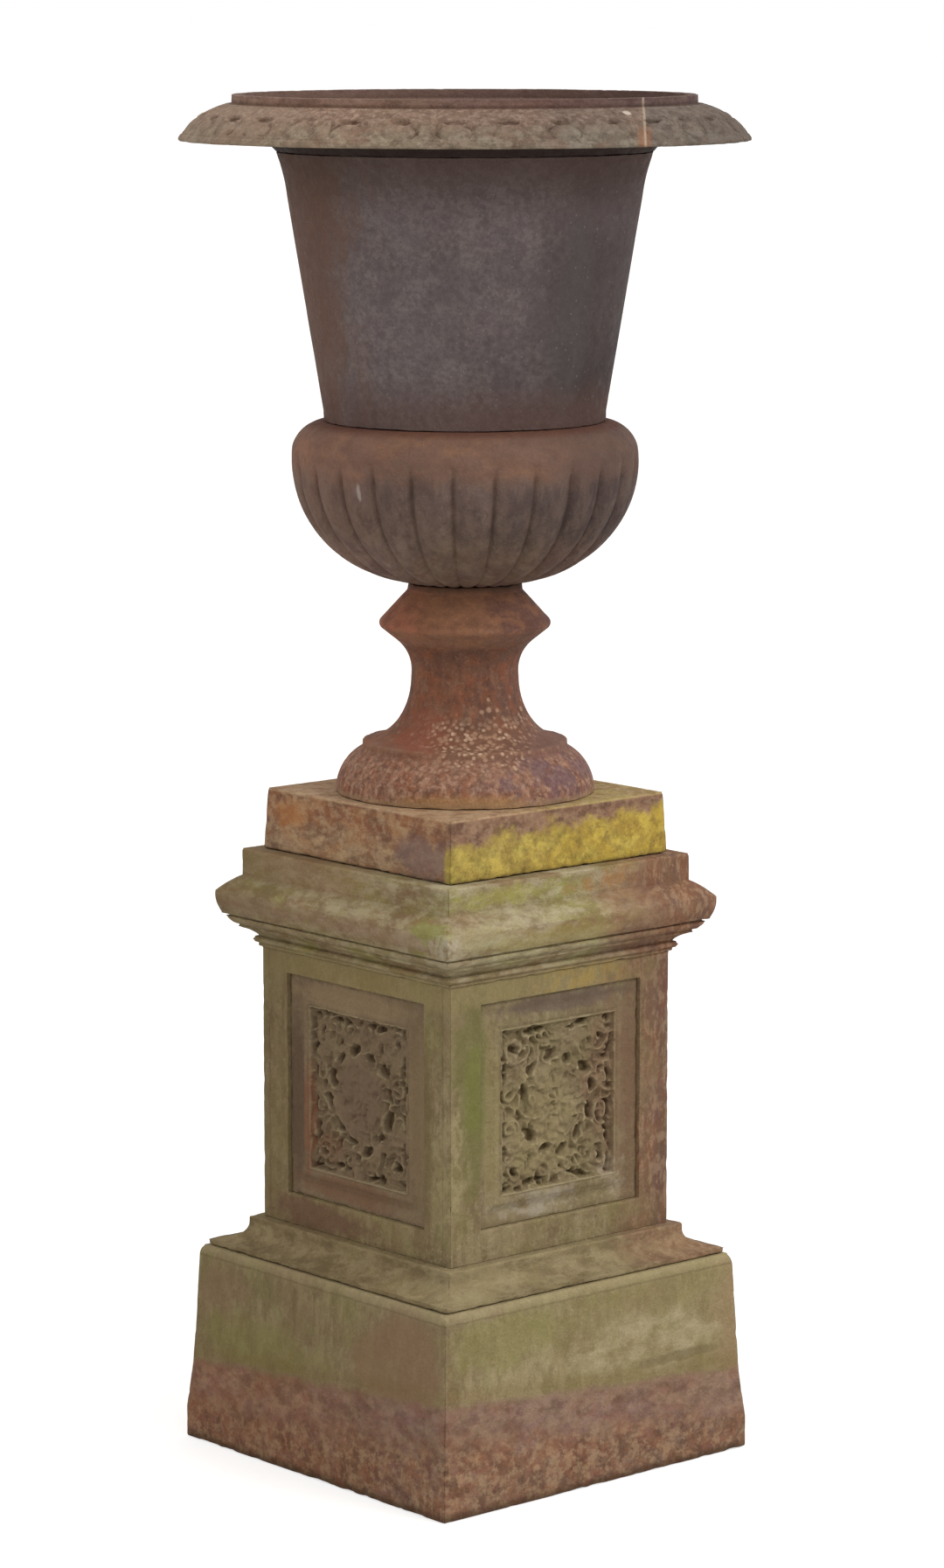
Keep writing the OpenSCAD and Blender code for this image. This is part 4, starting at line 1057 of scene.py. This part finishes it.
def drum_material():
    """The drum: dark purple grey with fine specks, rusty at its foot, with painted shadow under the rim
    at its top, painted light at its left and painted shade at its right.
    """
    m = weathered("drum_iron", "#4c4240 #5a504e #665b59 #6f6562 #807672", 83.0, 60.0, 0.5, 0.35)
    z = m.axis(2)
    side = m.right().shifted(34, 0.05)
    m.lay(m.blot(50, 0.45, (1, 1, 1.5), 0.12), "#5d5256", 0.4)
    m.mottle(
        None,
        ("#776d6b", 5.5, 0.5, 1.1, 1, 0.38), ("#4a4040", 5, 0.45, 1.1, 1, 0.4),
        ("#584e51", 24, 0.4, 1.4, 1, 0.4),
    )
    m.lay(side.step(-0.080, -0.118), "#5c453a", 0.85)
    m.lay(side.step(-0.05, -0.10) * m.blot(20, 0.4, (1, 1, 3), 0.1), "#634739", 0.4)
    # painted shade to the right and low down, painted light left of the middle
    m.lay(side.step(0.045, 0.105), "#463b3a", 0.6)
    m.tone(side.step(-0.010, -0.050), 1.16, 1.17, 1.18)
    m.tone(side.step(0.02, 0.09) * z.step(1.03, 0.99), 0.76, 0.76, 0.76)
    m.tone(side.step(-0.03, 0.03) * z.step(0.955, 0.885), 0.75, 0.74, 0.74)
    m.patch((2, -135, 930), (20, 40, 110), 0.45, 26, "#4c4948", 0.4)
    m.lay(m.dots(5.0, 0.9, 0.25), "#8a807b", 0.3)
    m.lay(z.shifted(20, 0.02).step(0.900, 0.862), "#583f37", 0.55)
    # painted shadow under the rim, and painted light at the upper left
    m.lay(z.shifted(30, 0.03).step(1.015, 1.075), "#54423b", 0.75)
    m.tone(z.shifted(30, 0.03).step(0.985, 1.020) * side.step(-0.085, -0.04), 1.12, 1.11, 1.12)
    m.patch((-88, -102, 930), (3, 3, 3), 0.1, 6, "#a79d95", 0.8)
    m.patch((-123, -22, 882), (3, 3, 4), 0.1, 6, "#a79d95", 0.8)
    return m.finish(0.82, 0.35, speck=0.6)


def rim_material():
    """The rim: grey tan carving, a red brown ring on top and a seam at the right."""
    m = weathered("rim_iron", "#54443a #6a5a4c #7b6b5a #897a67 #a69881", 97.0, 34.0, 0.8, 0.5)
    z = m.axis(2)
    right = m.right()
    m.lay(m.blot(26, 0.5, (1, 1, 1), 0.1), "#776c58", 0.4)
    m.mottle(
        None,
        ("#56463a", 12, 0.42, 1.4, 1, 0.55), ("#a39480", 9, 0.4, 1.4, 1, 0.5),
        ("#83604f", 20, 0.36, 1.6, 1, 0.4),
    )
    upper = z.shifted(22, 0.014).step(1.086, 1.100)
    m.lay(upper, "#7a6051", 0.7)
    m.lay(upper * m.blot(11, 0.45), "#8c7262", 0.5)
    m.lay(upper * m.blot(8, 0.35), "#5f483c", 0.5)
    m.lay(upper * m.blot(5, 0.3), "#a8917e", 0.45)
    # greyer to the right of the seam; its right end darker as painted shade and its left end lighter as
    # painted light
    beyond = right.step(0.137, 0.141)
    m.lay(beyond, "#675d54", 0.6)
    m.mottle(beyond, ("#51463d", 10, 0.45, 2, 1, 0.6), ("#8e8377", 7, 0.36, 1.6, 1, 0.45))
    m.lay(right.step(0.17, 0.22), "#5f5247", 0.5)
    m.lay(right.step(-0.10, -0.18), "#948170", 0.3)
    side = right.shifted(30, 0.04)
    # painted shade growing towards the right
    m.tone(side.step(-0.10, 0.03), 0.80, 0.81, 0.84)
    m.tone(side.window(0.06, 0.137, 0.02), 0.86, 0.90, 0.94)
    # the upright face of the top ring, its top and the mouth inside it
    ring = z.step(1.1065, 1.1080)
    m.lay(ring, "#765a4e", 0.7)
    m.lay(ring * m.blot(12, 0.4, (2.5, 2.5, 1), 0.1), "#8b7263", 0.5)
    m.lay(ring * m.blot(10, 0.35, (2.5, 2.5, 1), 0.1), "#553f38", 0.5)
    # painted light on the left of the ring, painted shade right of its middle and at its right end
    m.tone(ring * side.step(-0.05, -0.10), 1.25, 1.25, 1.26)
    m.tone(ring * side.step(-0.05, 0.0), 0.80, 0.77, 0.83)
    m.tone(ring * side.step(0.06, 0.15), 0.78, 0.82, 0.90)
    m.lay(m.reach().step(0.1835, 0.1805), "#665048", 0.8)
    m.lay(z.step(1.1135, 1.1143), "#5f4c45", 0.6)
    # painted shadow: the part under the lip is darkened
    under = (z + m.reach() * 0.45).step(1.1775, 1.1735)
    # an open seam at the right, rusty beside its lower half
    facing = m.front().step(0.0, 0.02)
    rust = z.shifted(8, 0.006).step(1.096, 1.088) * right.shifted(6, 0.004).window(0.1330, 0.1435, 0.0025)
    m.lay(facing * rust, "#865c42", 0.6)
    m.lay(facing * right.window(0.1376, 0.1394, 0.0006), "#a3927f", 0.75)
    # painted shadow under the lip
    m.lay(under, "#271d1a", 0.92)
    m.patch((-8, -199, 1101), (5, 5, 5), 0.1, 6, "#c0b2a4", 0.85)
    return m.finish(0.84, 0.5)


def rod_material():
    """Rusted mild steel."""
    m = weathered("rod_steel", "#33261f #48372d #5a4438 #6b5142 #86694f", 111.0, 20.0, 0.8)
    return m.finish(0.7, 0.3)


IRONS = {
    "base_iron": base_material(),
    "pedestal_iron": pedestal_material(),
    "plaque_iron": plaque_material(),
    "block_iron": block_material(),
    "stem_iron": stem_material(),
    "bowl_iron": bowl_material(),
    "drum_iron": drum_material(),
    "rim_iron": rim_material(),
    "rod_steel": rod_material(),
}

# the pedestal, from outlines of half sides and heights
DIE_INSIDE = 99.9
LIP_INSIDE = 108.4

plinth_line = (
    [[PLINTH_HALF, 0], [PLINTH_HALF, 26], [162, 64]]
    + oval([153.4, 155], [4.3, 10], 0, 90)
    + [[58, PLINTH_H], [58, 153], [147.7, 153], [147.7, 0]]
)
place = ("plinth_shell", "pedestal", "plinth", "base_iron")
squared(place, plinth_line, corner=2.6, radius=2.0, step=2.4, seed=5, chip=0.9, sway=0.3)

mould_line = (
    [[152, PLINTH_H], [152, 170]]
    + oval([151, 184.5], [-23, -14.5], 90, 0)
    + [[128, Z_DIE], [LIP_INSIDE, Z_DIE], [LIP_INSIDE, 198.5]]
    + [[DIE_INSIDE, 198.5], [DIE_INSIDE, PLINTH_H]]
)
place = ("moulding_shell", "pedestal", "base_moulding", "pedestal_iron")
squared(place, mould_line, corner=2.2, radius=2.2, step=1.8, seed=6, shade=0.3)

# the front and back panels reach over the ends of the other two
for i, side_name in enumerate(("front", "right", "back", "left")):
    outside = side_name in ("front", "back")
    panel(side_name, i * math.pi / 2, DIE_SIDE if outside else INNER_SIDE, 1.0 if outside else 0.0)
    plaque(side_name, i * math.pi / 2, PLAQUE_SEED + 7 * i)

cap_line = (
    [[121.5, Z_CAP], [121.5, 421.5]]
    + oval([121.5, 424.25], [3.5, 2.75], -80, 80)
    + bow([121.5, 427], [133, 434], -1.2)
    + [[133, 437]]
    + oval([133, 444], [7, -7], 85, 0)
    + [[138.5, 444], [138.5, 445.5]]
    + bow([142.75, 445.5], [146.75, 465], 1.5)
    + bow([146.75, 465], [130.75, 478], 1.2)
    + oval([128.75, 498], [2, 2], 0, 90)
    + [[12, Z_BLOCK], [12, 488], [120.75, 488], [120.75, 437], [DIE_INSIDE, 437], [DIE_INSIDE, 410]]
    + [[LIP_INSIDE, 410], [LIP_INSIDE, Z_CAP]]
)
place = ("cornice_shell", "pedestal", "cornice_cap", "pedestal_iron")
squared(place, cap_line, corner=3.0, radius=2.0, step=1.4, seed=8, shade=0.35)

# the urn, its turned pieces from outlines of radii and heights
block_line = (
    [[118, Z_BLOCK]]
    + oval([113.5, 548.5], [2, 2], 0, 90)
    + [[ROD_HOLE, Z_STEM], [ROD_HOLE, 540.5], [105.5, 540.5], [105.5, Z_BLOCK]]
)
place = ("block_shell", "urn", "foot_block", "block_iron")
squared(place, block_line, corner=2.8, radius=2.0, step=2.2, seed=9, chip=0.9, sway=0.3)

stem_line = lift(
    [[92, 0], [106, 0]]
    + oval([69.5, 0], [36.5, 39.5], 3, 62)
    + [[84, 36.5], [84, 42.5]]
    + oval([83, 94], [-39, -51.5], 80, 3)
    + bow([44, 94], [58, 126], -5)
    + oval([65, 138], [5, 5], -45, 45)
    + [[47, 165], [47, STEM_H], [ROD_HOLE, STEM_H], [ROD_HOLE, 157.5]]
    + [[34, 157.5], [34, 68.5], [84, 18.25]],
    Z_STEM,
)
place = ("stem_shell", "urn", "stem_foot", "stem_iron")
turned(place, stem_line, 300, radius=2.0, step=1.9, seed=12, shade=0.35, chip=0.7, sway=0.35)

# the bowl is a quarter of an oval round a point this far out and this far up
BOWL_OUT = 36
BOWL_UP = 99
bowl_line = lift(
    [[47, 0]]
    + oval([BOWL_OUT, BOWL_UP], [105, -99], 81, 0, 30)
    + oval([113, 103], [28, 28], 0, 78, 16)
    + [[117, 131], [104, 131], [104, 121], [113, 121]]
    + oval([BOWL_OUT, BOWL_UP], [91, -87], 0, 80, 20)
    + [[ROD_HOLE, 12], [ROD_HOLE, 0]],
    Z_BOWL,
)


def gadroons(a, r, z):
    """The lobes of the bowl: each ends in a round head under the shoulder."""
    widest = Z_BOWL + BOWL_UP
    wall = BOWL_OUT + 98 * np.sqrt(np.clip(1 - ((widest - np.minimum(z, widest)) / 93) ** 2, 0, 1))
    outer = (r > BOWL_OUT) & (z < Z_BOWL + 128) & (r > wall - 3.0)
    u = np.mod((np.degrees(a) + 135.0) / (360.0 / LOBES), 1.0) - 0.5
    across = u * 2 * math.pi * np.maximum(r, 1) / LOBES
    half = math.pi * r / LOBES
    over = np.clip(z - (Z_BOWL + 97.0), 0, None) * half / 15.0
    d = np.clip(np.hypot(across, over) / half, 0, 1)
    cut = 6.0 * np.clip(r / 141.0, 0, 1) * (1 - np.sqrt(np.clip(1 - d**2, 0, 1)))
    cut = np.where(outer, cut * (1 - smooth(z, Z_BOWL + 90.0, Z_BOWL + 112.0)), 0.0)
    # painted shade in the flutes between the lobes
    dark = np.where(outer, smooth(cut, 0.8, 5.0) * 0.6, 0.0)
    return cut, dark, np.zeros(a.shape)


place = ("bowl_shell", "urn", "gadroon_bowl", "bowl_iron")
turned(place, bowl_line, LOBES * 26, radius=1.2, step=2.0, relief=gadroons, seed=14, chip=0.7, sway=0.3)

drum_line = lift(
    [[88, 0], [114.5, 0], [114.5, 8]]
    + bow([143, 180], [152, 216], -1.2)
    + [[137, 216], [136, 180], [107.5, 8], [88, 8]],
    Z_DRUM,
)
place = ("drum_shell", "urn", "drum", "drum_iron")
turned(place, drum_line, 420, radius=1.2, step=2.6, seed=15, chip=0.6, sway=0.4)

# the carved part of the rim lies between these two, measured along it in 49 steps
RIM_LOW = (230, 11)
RIM_HIGH = (192.5, 38)
RIM_STEPS = 49.0
rim_line = lift(
    [[137, 0]]
    + bow([152, 0], [187, 25], -3)
    + bow([187, 25], [221, 8.5], -3)
    + [[230, 8.5]]
    + bow(RIM_LOW, RIM_HIGH, 4.5, 24)
    + [[187, 38], [187, 45.5], [178, 45.5]]
    + bow([178, 38], [150, 7], 3)
    + [[137, 7]],
    Z_RIM,
)


def between(x, rise, fall):
    """1 between two slopes, each given by its ends."""
    return smooth(x, *rise) * (1 - smooth(x, *fall))


def egg_and_dart(a, r, z):
    """The carving of the rim: eggs and darts, pockets over them, and leaves and strands above."""
    chord = np.array(RIM_HIGH) - RIM_LOW
    length = np.hypot(*chord)
    chord /= length
    out, up = r - RIM_LOW[0], z - Z_RIM - RIM_LOW[1]
    s = (out * chord[0] + up * chord[1]) * RIM_STEPS / length
    off = out * chord[1] - up * chord[0]
    on = (off > -2.5) & (s > -0.5) & (s < RIM_STEPS + 0.5) & (r > 190)
    k = (np.degrees(a) + 133.0) / (360.0 / MOTIFS)
    u = np.mod(k + 0.5, 1.0) - 0.5
    odd = np.mod(np.round(k), 2) == 1
    w = u * 2 * math.pi * r / MOTIFS
    from_dart = (0.5 - np.abs(u)) * 2 * math.pi * r / MOTIFS
    # eggs with a dark channel round them
    egg = np.hypot(w / 12.0, (s - 14.5) / 8.5)
    sink = 1.9 * (line_at(egg, 1.13, 0.12) * smooth(s, 5.5, 9.0))
    sink = sink + 0.9 * np.clip(egg, 0, 1) ** 3 * between(s, (4, 8), (22, 25))
    # darts with dark slits beside them
    sink = np.maximum(sink, 2.6 * (line_at(from_dart, 7.0, 1.5) * between(s, (9, 12), (23, 26))))
    dart_side = np.clip((from_dart - 2.0) / 5.0, 0, 1) * between(s, (9, 12), (22, 25))
    sink = np.maximum(sink, 1.2 * dart_side * (from_dart < 7))
    # a pocket over each egg
    hole = np.clip(1.25 - np.hypot(w / 10.0, (s - 27.0) / 3.4), 0, 1)
    sink = np.maximum(sink, 3.4 * smooth(hole, 0.0, 0.55))
    # the upper zone, with a low leaf over every second egg and thin strands
    tongue = np.clip(1.2 - np.hypot(w / 8.5, (s - 36.5) / 6.5), 0, 1)
    strands = 0.5 + 0.5 * np.cos(u * 2 * math.pi * 6)
    upper = np.where(odd, 1.7 * (1 - smooth(tongue, 0.0, 0.3)), 1.3) * (0.55 + 0.45 * (1 - strands))
    sink = np.maximum(sink, between(s, (29, 31.5), (46, 48)) * upper)
    # a groove over the lip and one under the ledge
    for groove in (5.0, 48.0):
        sink = np.maximum(sink, line_at(s, groove, 1.0) * 1.2)
    at = np.stack([r * np.cos(a), r * np.sin(a), z], -1)
    pits = 0.5 * smooth(noise(at, 5, 42), 0.0, 0.8) * smooth(s, 4, 7)
    sink = sink * (0.72 + 0.35 * noise(at, 9, 41)) + pits
    sink = np.where(on, np.clip(sink, 0, None), 0.0)
    # painted shade in the sunk parts of the carving, and a painted highlight on its raised parts
    dark = np.where(on, smooth(sink, 1.0, 3.0), 0.0) * 0.8
    high = np.where(on & (s > 4), 1 - smooth(sink, 0.2, 1.1), 0.0) * 0.55
    return sink, dark, high


place = ("rim_shell", "urn", "rim_ring", "rim_iron")
worn = {"seed": 16, "chip": 0.8, "sway": 0.3}
turned(place, rim_line, MOTIFS * 32, radius=1.0, step=1.4, relief=egg_and_dart, **worn)

# rods, nuts and screws keep their own shape
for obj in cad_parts.values():
    obj.data.materials.clear()
    obj.data.materials.append(IRONS["rod_steel"])


# floor, light and camera
def shown(tree):
    """1 for the rays that show the background: straight, mirrored or through glass."""
    ray = add_node(tree, "LightPath", {})
    total = ray.outputs["Is Camera Ray"]
    for name in ("Is Glossy Ray", "Is Transmission Ray"):
        total = add_node(tree, "Math", {0: total, 1: ray.outputs[name]}, operation="MAXIMUM").outputs[0]
    return total


FLOOR_HALF = 30
FLOOR_GLOW = 0.6
corners = [(-FLOOR_HALF, -FLOOR_HALF, 0), (FLOOR_HALF, -FLOOR_HALF, 0)]
corners += [(FLOOR_HALF, FLOOR_HALF, 0), (-FLOOR_HALF, FLOOR_HALF, 0)]
floor_mesh = bpy.data.meshes.new("floor")
floor_mesh.from_pydata(corners, [], [(0, 1, 2, 3)])
floor = bpy.data.objects.new("floor", floor_mesh)
scene.collection.objects.link(floor)
floor_mat = bpy.data.materials.new("floor_white")
floor_mat.use_nodes = True
tree = floor_mat.node_tree
tree.nodes.clear()
pale_grey = {"Base Color": (0.5, 0.49, 0.48, 1), "Roughness": 0.9, "Specular IOR Level": 0.0}
ground = add_node(tree, "BsdfPrincipled", pale_grey)
glow = add_node(tree, "Math", {0: shown(tree), 1: FLOOR_GLOW}, operation="MULTIPLY")
lit = add_node(tree, "Emission", {"Strength": glow.outputs[0]})
total = add_node(tree, "AddShader", {0: ground.outputs[0], 1: lit.outputs[0]})
add_node(tree, "OutputMaterial", {"Surface": total.outputs[0]})
floor_mesh.materials.append(floor_mat)

world = bpy.data.worlds.new("studio")
scene.world = world
world.use_nodes = True
tree = world.node_tree
tree.nodes.clear()
soft = add_node(tree, "Background", {"Color": (1.0, 0.99, 0.97, 1), "Strength": 0.92})
white = add_node(tree, "Background", {"Color": (1, 1, 1, 1), "Strength": 1.0})
mix = add_node(tree, "MixShader", {0: shown(tree), 1: soft.outputs[0], 2: white.outputs[0]})
add_node(tree, "OutputWorld", {"Surface": mix.outputs[0]})


def lamp(name, kind, energy, where, rotation, **sets):
    """A lamp with these properties."""
    data = bpy.data.lights.new(name, kind)
    data.energy = energy
    for key, value in sets.items():
        setattr(data, key, value)
    obj = bpy.data.objects.new(name, data)
    obj.location = where
    obj.rotation_euler = rotation
    scene.collection.objects.link(obj)


def disk(name, where, aim, size, energy, colour):
    """A round lamp that looks at a point."""
    way = np.array(aim, float) - np.array(where, float)
    rotation = (math.acos(-way[2] / np.linalg.norm(way)), 0.0, math.atan2(way[1], way[0]) - math.pi / 2)
    lamp(name, "AREA", energy, where, rotation, shape="DISK", size=size, color=colour)


disk("key", (1.1, -3.4, 3.0), (0, 0, 0.5), 1.8, 75, (1.0, 0.99, 0.97))
disk("fill", (-3.4, -1.2, 2.2), (0, 0, 0.6), 2.4, 14, (1.0, 1.0, 1.0))
lamp("sky", "SUN", 0.55, (0, 0, 0), (math.radians(12), 0.0, math.radians(10)), angle=math.radians(40))

camera_data = bpy.data.cameras.new("camera")
camera_data.lens = 117.04
camera_data.sensor_width = 36.0
camera = bpy.data.objects.new("camera", camera_data)
camera.location = (-2.7005, -3.1066, 1.2084)
camera.rotation_euler = (math.radians(80.98), 0.0, math.radians(-41.08))
scene.collection.objects.link(camera)
scene.camera = camera
scene.view_settings.view_transform = "Standard"
